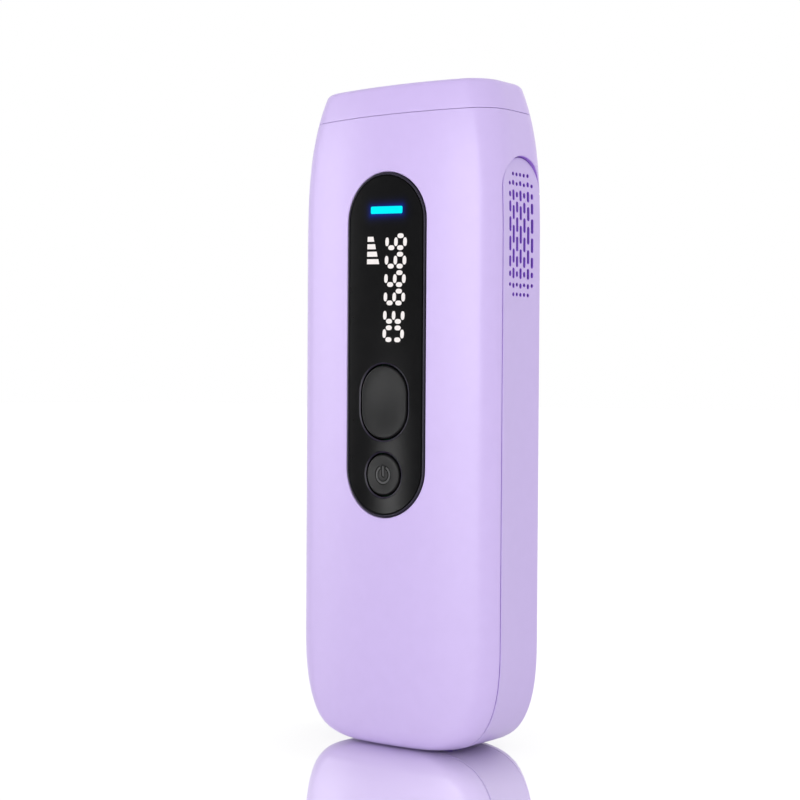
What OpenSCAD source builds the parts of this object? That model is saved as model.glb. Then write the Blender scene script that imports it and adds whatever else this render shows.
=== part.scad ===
// Hand-held IPL hair remover (light epilator): clamshell body with a U-shaped side trim,
// vented sides and base, smoked control panel, cooled sapphire light window at the top.
// Millimetres. +Z up, front (control panel) towards -Y, origin under the base, centred.

/* [Body] */
// Height of the body without the base plate's standoff
body_h = 165; // [150:1:180]
// Half width at mid height
body_a = 31.7; // [30:0.1:34]
// Half thickness at mid height
body_b = 15.3; // [14.8:0.1:17]
// Radius of the convex front and back faces
face_r = 99; // [90:1:140]
// Radius of the long corners
corner_r = 8.2; // [7:0.1:8.6]
// Half width lost at the top of the head
taper_a = 5.7; // [4:0.1:6]
// Front face set back at the top of the head
taper_f = 2.7; // [1.5:0.1:3]
// Back face set back at the top of the head
taper_b = 1.9; // [1:0.1:2.2]
// Height where the head starts to taper
taper_z = 121; // [115:1:125]
// Depth of the base plate's standoff under the body
foot = 0.2; // [0.1:0.05:0.3]

/* [Side trim] */
// Half width of the U-shaped side trim
trim_w = 7.82; // [7.5:0.01:8]
// Gap between the trim and the shells
trim_gap = 0.28; // [0.1:0.01:0.35]
// Thickness of the side trim
trim_t = 1.9; // [1.7:0.1:2]
// Height of the trim's arch
trim_z = 146.1; // [145:0.1:147]
// Dish of the trim's face
trim_dish = 0.45; // [0:0.05:0.6]
// Width of a vent slot
slot_w = 0.85; // [0.7:0.05:1.1]
// Pitch of the vent columns
slot_p = 1.6; // [1.5:0.01:1.7]

/* [Control panel] */
// Half width of the panel
panel_w = 12.2; // [11.8:0.1:12.6]
// Top of the panel
panel_top = 143; // [142:0.5:143.5]
// Bottom of the panel
panel_bot = 57.5; // [56:0.5:58]
// Thickness of the panel
panel_t = 1.2; // [1:0.1:1.3]
// Half width of the flash button
flash_w = 7.6; // [7:0.1:7.8]
// Height of the flash button's centre
flash_z = 86.1; // [85:0.1:87]
// Half height of the flash button
flash_h = 9.7; // [9:0.1:9.8]
// Radius of the power button
power_r = 5.7; // [5.2:0.1:5.8]
// Height of the power button's centre
power_z = 68.1; // [67:0.1:68.4]
// Gap round each button
button_gap = 0.3; // [0.2:0.05:0.4]
// Travel of each button
press = 0.5; // [0.3:0.1:0.5]

/* [Inlet] */
// Radius of the power inlet hole in the base plate
inlet_r = 3.3; // [3.2:0.1:3.6]

/* [Hidden] */
$fn = 48;

lilac = [0.82, 0.75, 0.93];
black = [0.07, 0.07, 0.075];
corner_x = 21.3;   // base corner, across
corner_z = 28.1;   // base corner, up
corner_n = 2.67;   // base corner, squareness
base_r = 5.4;      // rounding of the base's front and back edges
taper_n = 3.46;
seam_z = 157.3;    // joint between body and head cap
cover_z = 138;     // top edge of the rear shell
wall = 2;
side_wall = 4.9;
step_z = 147.6;    // above this the side walls are thin
pcb_y = -9.6;      // front face of the control board
face_cy = -body_b + face_r;

// ---------- shape functions ----------
function taper(z) = pow(max(0, (z - taper_z) / (body_h - taper_z)), taper_n);
function base_curve(z, rx, rz) = z >= rz ? 0 : rx * (1 - pow(max(0, 1 - pow(min(1, (rz - z) / rz), corner_n)), 1 / corner_n));
function base_round(z, r) = z >= r ? 0 : r * (1 - sqrt(max(0, 1 - pow((r - z) / r, 2))));
function half_w(z) = body_a - taper_a * taper(z) - base_curve(z, corner_x, corner_z);
function half_f(z) = body_b - taper_f * taper(z) - base_round(z, base_r);
function half_b(z) = body_b - taper_b * taper(z) - base_round(z, base_r);
function arc_a(a, r, c) = asin(min(0.9, (a - c) / (r - c)));
function corner_y(a, b, r, c) = min(-0.3, -b + r - (r - c) * cos(arc_a(a, r, c)));
// a quarter of a section: from the middle of the front face round to the side
function quarter(a, b, r, c, nf = 5, nc = 6) = let (p = arc_a(a, r, c), cy = corner_y(a, b, r, c), y0 = cy + (r - c) * cos(p)) concat(
    [for (i = [0:nf - 1]) let (t = i / nf * p) [r * sin(t), y0 - r * cos(t)]],
    [for (j = [0:nc]) let (t = p + j / nc * (90 - p)) [a - c + c * sin(t), cy - c * cos(t)]]);
function rev(l) = [for (i = [len(l) - 1:-1:0]) l[i]];
function tail(l) = [for (i = [1:len(l) - 1]) l[i]];
function ring(a, bf, bb, r, c, z, nf = 5, nc = 6) = let (f = quarter(a, bf, r, c, nf, nc), g = quarter(a, bb, r, c, nf, nc)) [for (p = concat(f,
    rev([for (q = g) [q[0], -q[1]]]), [for (q = tail(g)) [-q[0], -q[1]]], rev([for (q = tail(f)) [-q[0], q[1]]]))) [p[0], p[1], z]];

// closed solid through rings of equal length
module loft(rings) {
    n = len(rings[0]); m = len(rings);
    polyhedron(points = [for (r = rings) each r], faces = concat(
        [[for (i = [0:n - 1]) i]], [[for (i = [n - 1:-1:0]) (m - 1) * n + i]],
        [for (j = [0:m - 2]) for (i = [0:n - 1]) each let (k = (i + 1) % n) [[j * n + i, (j + 1) * n + i, (j + 1) * n + k], [j * n + i, (j + 1) * n + k, j * n + k]]]));
}

base_zs = [for (t = [90, 80, 70, 60, 50, 40, 30, 20, 10, 0]) corner_z * (1 - pow(sin(t), 2 / corner_n))];
low_zs = [0, 0.25, 0.8, 1.8, 3.2, 5.4, 8.4, 12.4, 17.6, 28.1];
top_zs = [121, 130, 137, 143, 148, 153, 157.3];
module body_outer(z1 = seam_z) loft([for (z = concat(low_zs, [for (t = top_zs) if (t < z1) t], [z1])) ring(half_w(z), half_f(z), half_b(z), face_r, corner_r, z)]);
function side_t(z) = z < step_z ? side_wall : 2.2;
module cavity(z1 = 170) loft([for (z = [3.9, 4.6, 6.4, 9.4, 13.6, 19, 28.1, 121, 130, 137, 143, step_z - 0.05, step_z + 0.05, 153, z1])
    let (a = body_a - taper_a * taper(min(z, 165)) - side_t(z) - base_curve(z - 3.9, corner_x - 4.9, corner_z - 3.9), s = taper(min(z, 165)), r0 = base_round(z - 3.9, 2.5))
    ring(a, body_b - taper_f * s - wall - r0, body_b - taper_b * s - wall - r0, face_r - wall, 4.6, z, 4, 4)]);

// ---------- side trim path ----------
function edge_x(z, w) = let (a = half_w(z), cy = corner_y(a, half_b(z), face_r, corner_r), d = min(corner_r * 0.98, max(0, w + cy))) a - corner_r + sqrt(pow(corner_r, 2) - d * d);
// [x, z, half width] down one side from the arch to the middle of the base
function trim_side(w, top) = concat(
    [for (t = [8, 20, 34, 48, 62, 76, 90]) let (z = top - w * (1 - cos(t))) [edge_x(z, trim_w), z, w * sin(t)]],
    [for (z = [129, 121, 28.1, 22, 17, 13, 9.6, 6.8, 4.6, 2.9, 1.6, 0.8, 0.3, 0]) [edge_x(z, trim_w), z, w]]);
function trim_path(w, top) = let (s = trim_side(w, top)) concat(s, rev([for (p = s) [-p[0], p[1], p[2]]]));
function unit2(v) = v / norm(v);
function path_n(p, i) = let (a = p[max(0, i - 1)], b = p[min(len(p) - 1, i + 1)], d = unit2([b[0] - a[0], b[1] - a[1]])) [-d[1], d[0]];
function dish(z) = trim_dish * min(1, max(0, (z - 6) / 22));
// rings of the trim: outer face dished, edges eased, inner face flat
function trim_rings(w, top, o, t, d = 1) = let (p = trim_path(w, top)) [for (i = [0:len(p) - 1]) let (n = path_n(p, i), h = p[i][2], k = d * dish(p[i][1]), e = min(0.3, h * 0.3))
    [for (q = rev([[o - e, -h], [o - k * (1 - pow((h - e) / trim_w, 2)), -h + e], [o - k * (1 - pow(h * 0.6 / trim_w, 2)), -h * 0.6], [o - k * (1 - pow(h * 0.25 / trim_w, 2)), -h * 0.25],
        [o - k * (1 - pow(h * 0.25 / trim_w, 2)), h * 0.25], [o - k * (1 - pow(h * 0.6 / trim_w, 2)), h * 0.6], [o - k * (1 - pow((h - e) / trim_w, 2)), h - e], [o - e, h], [o - t, h], [o - t, -h]]))
        [p[i][0] + n[0] * q[0], q[1], p[i][1] + n[1] * q[0]]]];
function cutter_rings(w, top, o, t) = let (p = trim_path(w, top)) [for (i = [0:len(p) - 1]) let (n = path_n(p, i), h = p[i][2])
    [for (q = [[o, -h], [-t, -h], [-t, h], [o, h]]) [p[i][0] + n[0] * q[0], q[1], p[i][1] + n[1] * q[0]]]];
module trim_channel() loft(cutter_rings(trim_w + trim_gap, trim_z + trim_gap, 3, trim_t + 0.1));

// ---------- small helpers ----------
module y_cyl(x, z, y0, y1, r, f = 0) translate([x, y0, z]) rotate([-90, 0, 0]) cylinder(r = r, h = y1 - y0, $fn = f > 0 ? f : $fn);
module x_cyl(y, z, x0, x1, r, f = 0) translate([x0, y, z]) rotate([0, 90, 0]) cylinder(r = r, h = x1 - x0, $fn = f > 0 ? f : $fn);
module box(x0, x1, y0, y1, z0, z1) translate([x0, y0, z0]) cube([x1 - x0, y1 - y0, z1 - z0]);
function stad(w, l, n = 12) = [for (k = [0, 1]) for (i = [0:n]) let (t = 180 * k + 180 * i / n, s = k == 0 ? 1 : -1) [w * cos(t), s * (l - w) + w * sin(t)]];
// prism along Y of an outline drawn in X, Z
module y_prism(y0, y1) translate([0, y1, 0]) rotate([90, 0, 0]) linear_extrude(height = y1 - y0) children();
module pill2(w, z0, z1) translate([0, (z0 + z1) / 2]) polygon(stad(w, (z1 - z0) / 2, 24));
module pill(w, z0, z1, y0, y1) y_prism(y0, y1) pill2(w, z0, z1);
module rr(w, h, r, z0, z1) translate([0, 0, z0]) linear_extrude(height = z1 - z0) polygon([for (c = [[1, 1, 0], [-1, 1, 90], [-1, -1, 180], [1, -1, 270]]) for (i = [0:6]) let (t = c[2] + i * 15) [c[0] * (w / 2 - r) + r * cos(t), c[1] * (h / 2 - r) + r * sin(t)]]);
// the convex front face, as a cylinder about a vertical axis
module face_cyl(r, z0, z1) translate([0, face_cy, z0]) cylinder(r = r, h = z1 - z0, $fn = 200);
module solid_hull() hull() children();
// tube swept through points, 8 sided
function seg_dir(p, i) = let (a = p[max(0, i - 1)], b = p[min(len(p) - 1, i + 1)]) (b - a) / norm(b - a);
function tube_ring(p, i, r, ref) = let (d = seg_dir(p, i), u = let (c = cross(ref, d)) c / norm(c), v = cross(d, u)) [for (k = [0:7]) p[i] + r * (cos(k * 45) * u + sin(k * 45) * v)];
module tube(p, r, ref = [0.2, 1, 0.1]) loft([for (i = [0:len(p) - 1]) tube_ring(p, i, r, ref)]);

// vent pattern of one side: [column, half length, offset from the middle]
even_slots = [[2.15, 0], [1.68, 5.28], [1.28, 9.48], [0.58, 12.5], [slot_w / 2, 14.65]];
odd_slots = [[1.75, 2.35], [1.3, 6.65], [0.65, 9.65], [slot_w / 2, 12.25], [slot_w / 2, 14.6]];
vent_z = 127.2;
module vent_slots2() for (c = [-3:3]) {
    even = (abs(c) % 2) == 0;
    list = even ? even_slots : odd_slots;
    for (k = [0:4]) if (!(abs(c) == 3 && k == 4)) for (s = list[k][1] == 0 ? [1] : [-1, 1])
        translate([c * slot_p, vent_z + s * list[k][1]]) polygon(stad(slot_w / 2, max(list[k][0], slot_w / 2), 4));
}
case_points = [[-3, 32], [-3, 70], [-3, 103]];
module channel_openings(e = 0) {
    for (s = [-1, 1]) box(s > 0 ? 24 : -34, s > 0 ? 34 : -24, -5.9 + e, 5.9 - e, 112, 143);
    box(-5.2, 5.2, -6.1, 6.1, -3, 8);
    for (s = [-1, 1]) box(s > 0 ? 6.4 : -17.5, s > 0 ? 17.5 : -6.4, -4.6, 4.6, -3, 8);
}

// ---------- body ----------
module front_shell() color(lilac) translate([0, 0, foot]) difference() {
    union() {
        difference() {
            body_outer();
            cavity();
            box(-40, 40, 0, 20, -5, cover_z);
        }
        // bosses for the control board, and locating ribs for the rear shell
        for (x = [-15.5, 15.5], z = [61.5, 141.5]) y_cyl(x, z, -13.2, pcb_y, 2.6, 24);
        for (x = [-20.5, 20.5]) solid_hull() box(x - 0.7, x + 0.7, -13.2, -9, 12, 40);
        solid_hull() box(-22, 22, -13.8, -11.6, 20, 21.4);
        solid_hull() box(-22, 22, -13.8, -11.6, 44, 45.4);
    }
    for (x = [-15.5, 15.5], z = [61.5, 141.5]) y_cyl(x, z, -12.6, 0, 1.1, 16);
    trim_channel();
    loft(plate_rings(22.6, plate_w + 0.12, 2, trim_t + 0.1));
    channel_openings();
    // seat and opening for the control panel
    difference() {
        pill(panel_w + 0.12, panel_bot - 0.12, panel_top + 0.12, -20, -10);
        face_cyl(face_r - panel_t - 0.05, 0, 170);
    }
    pill(10, 60, 140.5, -20, -12);
    for (p = case_points, s = [-1, 1]) {
        x_cyl(p[0], p[1], s > 0 ? 24 : -32, s > 0 ? 32 : -24, 1.25, 16);
        x_cyl(p[0], p[1], s > 0 ? 27.75 : -32, s > 0 ? 32 : -27.75, 2.15, 16);
    }
}

module rear_shell() color(lilac) translate([0, 0, foot]) difference() {
    union() {
        difference() {
            intersection() { body_outer(); box(-40, 40, 0.1, 20, -1, cover_z - 0.12); }
            cavity();
        }
        // tabs that reach under the front shell and take the case screws
        for (p = case_points, s = [-1, 1]) solid_hull() box(s > 0 ? 24.6 : -26.65, s > 0 ? 26.65 : -24.6, -6.2, 3, p[1] - 4, p[1] + 4);
        for (p = case_points, s = [-1, 1]) solid_hull() box(s > 0 ? 24.6 : -27.4, s > 0 ? 27.4 : -24.6, 0.3, 3, p[1] - 4, p[1] + 4);
        // bosses for the main board and the blower
        for (p = mb_holes) y_cyl(p[0], p[1], mb_y + 1.65, 12.6, 2.4, 20);
        for (x = [-17, 17]) y_cyl(x, x > 0 ? 118 : 84, fan_y1 + 0.05, 12.8, 2.4, 20);
    }
    trim_channel();
    loft(plate_rings(22.6, plate_w + 0.12, 2, trim_t + 0.1));
    channel_openings();
    for (p = case_points, s = [-1, 1]) x_cyl(p[0], p[1], s > 0 ? 20 : -32, s > 0 ? 32 : -20, 1.1, 16);
    for (p = mb_holes) y_cyl(p[0], p[1], 9, 12.4, 1.1, 16);
    for (x = [-17, 17]) y_cyl(x, x > 0 ? 118 : 84, 10, 12.6, 1.1, 16);
}

module side_trim() color(lilac) translate([0, 0, foot]) difference() {
    loft(trim_rings(trim_w, trim_z, 0, trim_t));
    for (s = [-1, 1]) translate([s > 0 ? 25 : -35, 0, 0]) rotate([90, 0, 90]) linear_extrude(height = 10) vent_slots2();
    loft(plate_cut());
}

// base plate: a curved lozenge let into the trim, standing proud by the foot
plate_w = 5.5;
function plate_xs(l, w, e) = concat([for (t = [12, 28, 44, 60, 76, 90]) l - w * (1 - cos(t))], [8, 0]);
function trim_z_at(x) = let (u = max(0, (x + 2.9 - (body_a - corner_x)) / corner_x)) corner_z * (1 - pow(max(0, 1 - pow(min(1, u), corner_n)), 1 / corner_n));
function plate_half(l, w) = concat([for (t = [12, 28, 44, 60, 76, 90]) let (x = l - w * (1 - cos(t))) [x, w * sin(t)]], [[11.5, w], [8, w]]);
function plate_all(l, w) = let (h = plate_half(l, w)) concat(h, rev([for (p = h) [-p[0], p[1]]]));
function plate_rings(l, w, o, t) = let (p = plate_all(l, w)) [for (i = [0:len(p) - 1]) let (x = p[i][0], z = trim_z_at(abs(x)), dz = (trim_z_at(abs(x) + 0.2) - trim_z_at(max(0, abs(x) - 0.2))) / 0.4, n = unit2([sign(x) * dz, -1]))
    [for (q = [[-t, -p[i][1]], [-t, p[i][1]], [o, p[i][1]], [o, -p[i][1]]]) [x + n[0] * q[0], q[1], z + n[1] * q[0]]]];
function plate_cut() = plate_rings(22.6, plate_w + 0.12, 2, 3);
module base_plate() color(lilac * 0.86) translate([0, 0, foot]) difference() {
    loft(plate_rings(22.45, plate_w, foot, trim_t));
    translate([0, 0, -3]) cylinder(r = inlet_r, h = 8);
    for (s = [-1, 1], i = [0:6], j = [-2:2]) if (!(abs(j) == 2 && i == 6)) translate([s * (7.2 + i * 1.6 + (abs(j) % 2) * 0.0), j * 1.7, -3]) cylinder(r = 0.42, h = 10, $fn = 13);
}

function cap_ring(z, d) = ring(half_w(z) - d, half_f(z) - d, half_b(z) - d, face_r, corner_r - d, z);
module head_cap() color(lilac) translate([0, 0, foot]) difference() {
    union() {
        loft([for (q = [[seam_z + 0.14, 0.12], [seam_z + 0.3, 0], [160, 0], [162.6, 0], [163.9, 0.05], [164.5, 0.3], [164.85, 0.65], [165, 1.15]]) cap_ring(q[0], q[1])]);
        // skirt that slips inside the body
        loft([for (z = [152.6, 157.5]) let (s = taper(z)) ring(body_a - taper_a * s - 2.38, body_b - taper_f * s - wall - 0.15, body_b - taper_b * s - wall - 0.15, face_r - wall, 4.5, z)]);
    }
    difference() {
        loft([for (z = [150, 163]) let (s = taper(min(z, 158))) ring(body_a - taper_a * s - 3.7, body_b - taper_f * s - 3.3, body_b - taper_b * s - 3.3, face_r - 3, 3.6, z)]);
        for (x = [-21.4, 21.4], y = [-5.6, 5.6]) solid_hull() translate([x, y, 159.6]) cylinder(r = 1.7, h = 5, $fn = 20);
        for (x = [-1, 1]) solid_hull() box(x > 0 ? 20.6 : -24.4, x > 0 ? 24.4 : -20.6, -4.6, 4.6, 162.2, 164);
        for (x = [-8, 8]) solid_hull() box(x - 0.5, x + 0.5, 8.8, 12, 158, 164);
    }
    rr(38, 15.8, 4.6, 160, 170);
    for (x = [-21.4, 21.4], y = [-5.6, 5.6]) translate([x, y, 159]) cylinder(r = 0.95, h = 3.6, $fn = 16);
    for (s = [-1, 1]) translate([s * 22.4, 0, 163.2]) linear_extrude(height = 3) polygon(stad(1.15, 4.1, 8));
}

// ---------- controls ----------
module face_shell(r0, r1) difference() { face_cyl(r1, 20, 160); face_cyl(r0, 10, 170); }
digit_z = [for (i = [0:5]) 125.65 - i * 4.53];
// the read-out sits turned by a small angle on the panel
module skew2() translate([3.28, 114.33]) rotate(-1.8) translate([-3.28, -114.33]) children();
digit_on = [[1, 1, 1, 1, 0, 1, 1], [1, 1, 1, 1, 0, 1, 1], [1, 1, 1, 1, 0, 1, 1], [1, 1, 1, 1, 0, 1, 1], [1, 1, 1, 0, 0, 1, 1], [1, 0, 1, 1, 1, 1, 1]];
function oval(w, h, n = 12) = [for (i = [0:n - 1]) let (t = 360 * i / n) [w * sign(cos(t)) * pow(abs(cos(t)), 0.8), h * sign(sin(t)) * pow(abs(sin(t)), 0.8)]];
// segments: top, middle, bottom bars stand upright because the read-out is turned a quarter
module digit2(on, g = 0) {
    for (k = [0:2]) if (on[k] > 0) translate([[2.7, 0, -2.7][k], 0]) polygon(oval(0.6 + g, 1.13 + g));
    for (k = [0:3]) if (on[3 + k] > 0) translate([[1.33, -1.36, -1.36, 1.33][k], [1.46, 1.46, -1.46, -1.46][k]]) polygon(oval(0.98 + g, 0.66 + g));
}
module digits2(g = 0) skew2() for (i = [0:5]) translate([3.28, digit_z[i]]) digit2(digit_on[i], g);
module bars2(g = 0) skew2() for (i = [0:3]) translate([-5.69, 126.35 - i * 1.855]) polygon([[-g, -0.65 - g], [2.17 + i * 0.6 + g, -0.65 - g], [1.88 + i * 0.59 + g, 0.65 + g], [-g, 0.65 + g]]);
module bar2(g = 0) skew2() translate([0, 133.53]) polygon([for (c = [[1, 1, 0], [-1, 1, 90], [-1, -1, 180], [1, -1, 270]]) for (i = [0:3]) let (t = c[2] + i * 30) [c[0] * 4.6 + (0.35 + g) * cos(t), c[1] * 0.6 + (0.35 + g) * sin(t)]]);

module control_panel() color(black) translate([0, 0, foot]) difference() {
    intersection() {
        face_shell(face_r - panel_t, face_r + 0.05);
        pill(panel_w, panel_bot, panel_top, -20, -5);
    }
    pill(flash_w + button_gap, flash_z - flash_h - button_gap, flash_z + flash_h + button_gap, -20, -5);
    y_cyl(0, power_z, -20, -5, power_r + button_gap);
    y_prism(-20, -5) digits2(0.03);
    y_prism(-20, -5) bars2(0.03);
    y_prism(-20, -5) bar2(0.03);
}
module display_digits() color([0.97, 0.95, 0.93]) translate([0, 0, foot]) intersection() { face_shell(face_r - panel_t + 0.1, face_r + 0.06); y_prism(-18, -8) digits2(); }
module level_bars() color([0.97, 0.95, 0.9]) translate([0, 0, foot]) intersection() { face_shell(face_r - panel_t + 0.1, face_r + 0.06); y_prism(-18, -8) bars2(); }
module light_bar() color([0.05, 0.85, 0.98]) translate([0, 0, foot]) intersection() { face_shell(face_r - panel_t + 0.1, face_r + 0.06); y_prism(-18, -8) bar2(); }
module display_module() color([0.12, 0.12, 0.13]) translate([0, 0, foot]) {
    difference() { box(-6.9, 7.4, -13.3, pcb_y, 99.4, 130.2); y_prism(-14, -12.1) digits2(0.05); y_prism(-14, -12.1) bars2(0.05); }
    difference() { box(-5.6, 5.8, -13.3, pcb_y, 132.0, 135.2); y_prism(-14, -12.1) bar2(0.05); }
}

cap_in = -13.35; // front of the button flanges
module flash_button() color(black) translate([0, 0, foot]) {
    intersection() { face_cyl(face_r + 0.15, 70, 100); pill(flash_w, flash_z - flash_h, flash_z + flash_h, -20, cap_in + 0.1); }
    pill(flash_w + 0.9, flash_z - flash_h - 0.9, flash_z + flash_h + 0.9, cap_in, cap_in + 0.6);
    y_cyl(0, flash_z, cap_in + 0.5, -12.5, 1.6);
}
module power_button() color(black) translate([0, 0, foot]) difference() {
    union() {
        intersection() { face_cyl(face_r + 0.15, 55, 80); y_cyl(0, power_z, -20, cap_in + 0.1, power_r); }
        y_cyl(0, power_z, cap_in, cap_in + 0.6, power_r + 0.8);
        y_cyl(0, power_z, cap_in + 0.5, -12.5, 1.6);
    }
    // on/off mark, engraved
    difference() {
        translate([0, -15.2, power_z]) rotate([90, 0, 0]) difference() { cylinder(r = 2.35, h = 3); translate([0, 0, -1]) cylinder(r = 1.7, h = 5); }
        box(-0.95, 0.95, -20, -10, power_z + 0.6, power_z + 4);
    }
    box(-0.33, 0.33, -20, -15.2, power_z - 0.2, power_z + 2.5);
}
module tact_body(z) difference() {
    union() { box(-3.1, 3.1, -11.9, pcb_y, z - 3.1, z + 3.1); for (x = [-3.9, 3.1], d = [-1.9, 1.3]) box(x, x + 0.8, pcb_y - 0.4, pcb_y, z + d, z + d + 0.6); }
    y_cyl(0, z, -12, -9.9, 1.5);
}
module flash_switch() color([0.2, 0.2, 0.22]) translate([0, 0, foot]) tact_body(flash_z);
module power_switch() color([0.2, 0.2, 0.22]) translate([0, 0, foot]) tact_body(power_z);
module flash_switch_plunger() color([0.85, 0.8, 0.7]) translate([0, 0, foot]) y_cyl(0, flash_z, -12.5, -10.5, 1.42);
module power_switch_plunger() color([0.85, 0.8, 0.7]) translate([0, 0, foot]) y_cyl(0, power_z, -12.5, -10.5, 1.42);

pcb_holes = [for (x = [-15.5, 15.5], z = [61.5, 141.5]) [x, z]];
module control_pcb() color([0.05, 0.35, 0.2]) translate([0, 0, foot]) difference() {
    box(-18, 18, pcb_y, pcb_y + 1.2, 58.5, 144.5);
    for (p = pcb_holes) y_cyl(p[0], p[1], -12, -5, 1.2);
}
module screw_y(x, z, y_head, dir, len, r = 1, hr = 1.9, hh = 1.1) {
    // dir 1: the shank runs towards +Y
    y0 = dir > 0 ? y_head - hh : y_head; s0 = dir > 0 ? y_head - 0.05 : y_head - len;
    difference() { y_cyl(x, z, y0, y0 + hh, hr); translate([x - 0.25, dir > 0 ? y0 - 0.5 : y0 + hh - 0.5, z - 1.2]) cube([0.5, 1, 2.4]); translate([x - 1.2, dir > 0 ? y0 - 0.5 : y0 + hh - 0.5, z - 0.25]) cube([2.4, 1, 0.5]); }
    y_cyl(x, z, s0, s0 + len + 0.05, r);
}
module control_pcb_screws() color([0.75, 0.75, 0.77]) translate([0, 0, foot]) for (p = pcb_holes) screw_y(p[0], p[1], pcb_y + 1.2, -1, 3.8);

// ---------- head ----------
module window_bezel() color([0.9, 0.9, 0.92]) translate([0, 0, foot]) difference() {
    union() { rr(39.4, 17, 5, 161.5, 162.95); rr(37.7, 15.5, 4.4, 162.8, 164.5); }
    rr(33.2, 12.8, 3.1, 160, 166);
}
module window_gasket() color([0.15, 0.15, 0.16]) translate([0, 0, foot]) difference() { rr(36.2, 15.2, 3.8, 161.12, 161.48); rr(33.4, 13, 3.2, 160, 163); }
module sapphire_window() color([0.75, 0.88, 0.98, 0.5]) translate([0, 0, foot]) { rr(36.2, 15.2, 3.8, 159.55, 161.1); rr(32.8, 12.4, 2.9, 161, 164.6); }
module skin_sensors() color([0.8, 0.8, 0.82]) translate([0, 0, foot]) for (s = [-1, 1]) translate([s * 22.4, 0, 163.25]) { linear_extrude(height = 1.75) polygon(stad(1.05, 4.0, 8)); }
module cold_frame() color([0.78, 0.8, 0.82]) translate([0, 0, foot]) difference() {
    union() {
        rr(46, 15.4, 3.2, 157.6, 159.5);
        box(-13, 13, 8.2, 9.7, 143.4, 158);
        box(-13, 13, -6.5, 9.7, 143.4, 145.2);
    }
    rr(31, 11.4, 2.4, 156, 161);
    for (x = [-21.4, 21.4], y = [-5.6, 5.6]) translate([x, y, 156]) cylinder(r = 1.15, h = 5);
}
module head_screws() color([0.75, 0.75, 0.77]) translate([0, 0, foot]) for (x = [-21.4, 21.4], y = [-5.6, 5.6]) translate([x, y, 0]) {
    difference() { translate([0, 0, 156.55]) cylinder(r = 1.7, h = 1.04); translate([-1.2, -0.25, 156]) cube([2.4, 0.5, 1]); }
    translate([0, 0, 157.5]) cylinder(r = 0.85, h = 4.6);
}
module filter_glass() color([0.98, 0.75, 0.35, 0.5]) translate([0, 0, foot]) rr(35, 12.6, 0.8, 156.2, 157.4);
// reflector trough: parabola in Y, Z run along X
refl_z = 147.3;
function para(y, f = 1.3) = refl_z + y * y / (4 * f);
module reflector() color([0.92, 0.92, 0.94]) translate([0, 0, foot]) translate([-17, 0, 0]) rotate([90, 0, 90]) linear_extrude(height = 34) polygon(concat(
    [for (i = [-8:8]) let (y = i * 0.78) [y, para(y)]], [for (i = [8:-1:-8]) let (y = i * 0.86) [y, para(y * 0.907) - 0.62 + 0.62 * abs(i) / 8 * 0.98]]));
module lamp_holder() color([0.93, 0.92, 0.88]) translate([0, 0, foot]) difference() {
    box(-19.4, 19.4, -8, 8, 145.5, 157.5);
    box(-17.15, 17.15, -7.0, 7.0, 146.3, 160);
    rr(35.3, 12.9, 0.8, 156.1, 160);
    box(-25, 25, -2.6, 2.6, 150.2, 156);
    for (s = [-1, 1]) x_cyl(0, 150.7, s > 0 ? 16 : -21, s > 0 ? 21 : -16, 2.6);
}
lamp_z = 150.8;
module xenon_lamp() color([0.88, 0.93, 0.97, 0.45]) translate([0, 0, foot]) difference() { x_cyl(0, lamp_z, -20.6, 20.6, 2.25); x_cyl(0, lamp_z, -22, 22, 1.55); }
module lamp_electrodes() color([0.62, 0.6, 0.58]) translate([0, 0, foot]) for (s = [-1, 1]) {
    x_cyl(0, lamp_z, s > 0 ? 16.4 : -20.6, s > 0 ? 20.6 : -16.4, 0.8);
    x_cyl(0, lamp_z, s > 0 ? 14.6 : -16.5, s > 0 ? 16.5 : -14.6, 1.3);
    x_cyl(0, lamp_z, s > 0 ? 20.6 : -22, s > 0 ? 22 : -20.6, 2.25);
}
lead_pts = [[22.03, 0, 150.8], [22.7, 0, 150.8], [23.4, 0.4, 150.4], [23.8, 1.4, 148.8], [23.9, 2.6, 146], [24, 3.6, 141], [23.6, 4.6, 120], [23.4, 5.2, 98], [23.3, 5.5, 84], [22.9, 5.6, 77.5], [22, 5.6, 72.8], [20.6, 5.8, 70.6], [19.2, 6.3, 69.9], [18.3, 7.1, 69.8], [18.05, 7.9, 69.8], [18.05, 8.56, 69.8]];
module lamp_leads() color([0.75, 0.08, 0.08]) translate([0, 0, foot]) for (s = [-1, 1]) mirror([s > 0 ? 0 : 1, 0, 0]) tube(lead_pts, 0.8, [1, 1, 1]);
module cooler_module() color([0.95, 0.95, 0.95]) translate([0, 0, foot]) {
    box(-10, 10, -6.5, 9.5, 142.6, 143.38);
    box(-10, 10, -6.5, 9.5, 140.1, 140.9);
    for (i = [0:6], j = [0:5]) box(-9.2 + i * 2.8, -7.6 + i * 2.8, -5.7 + j * 2.65, -4.1 + j * 2.65, 140.85, 142.65);
}
module heat_sink() color([0.7, 0.72, 0.74]) translate([0, 0, foot]) {
    box(-20, 20, -6.5, 10.5, 137.6, 140.08);
    for (i = [0:7]) box(-20, 20, -6.5 + i * 2.3, -5.6 + i * 2.3, 124.6, 137.7);
}

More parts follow.
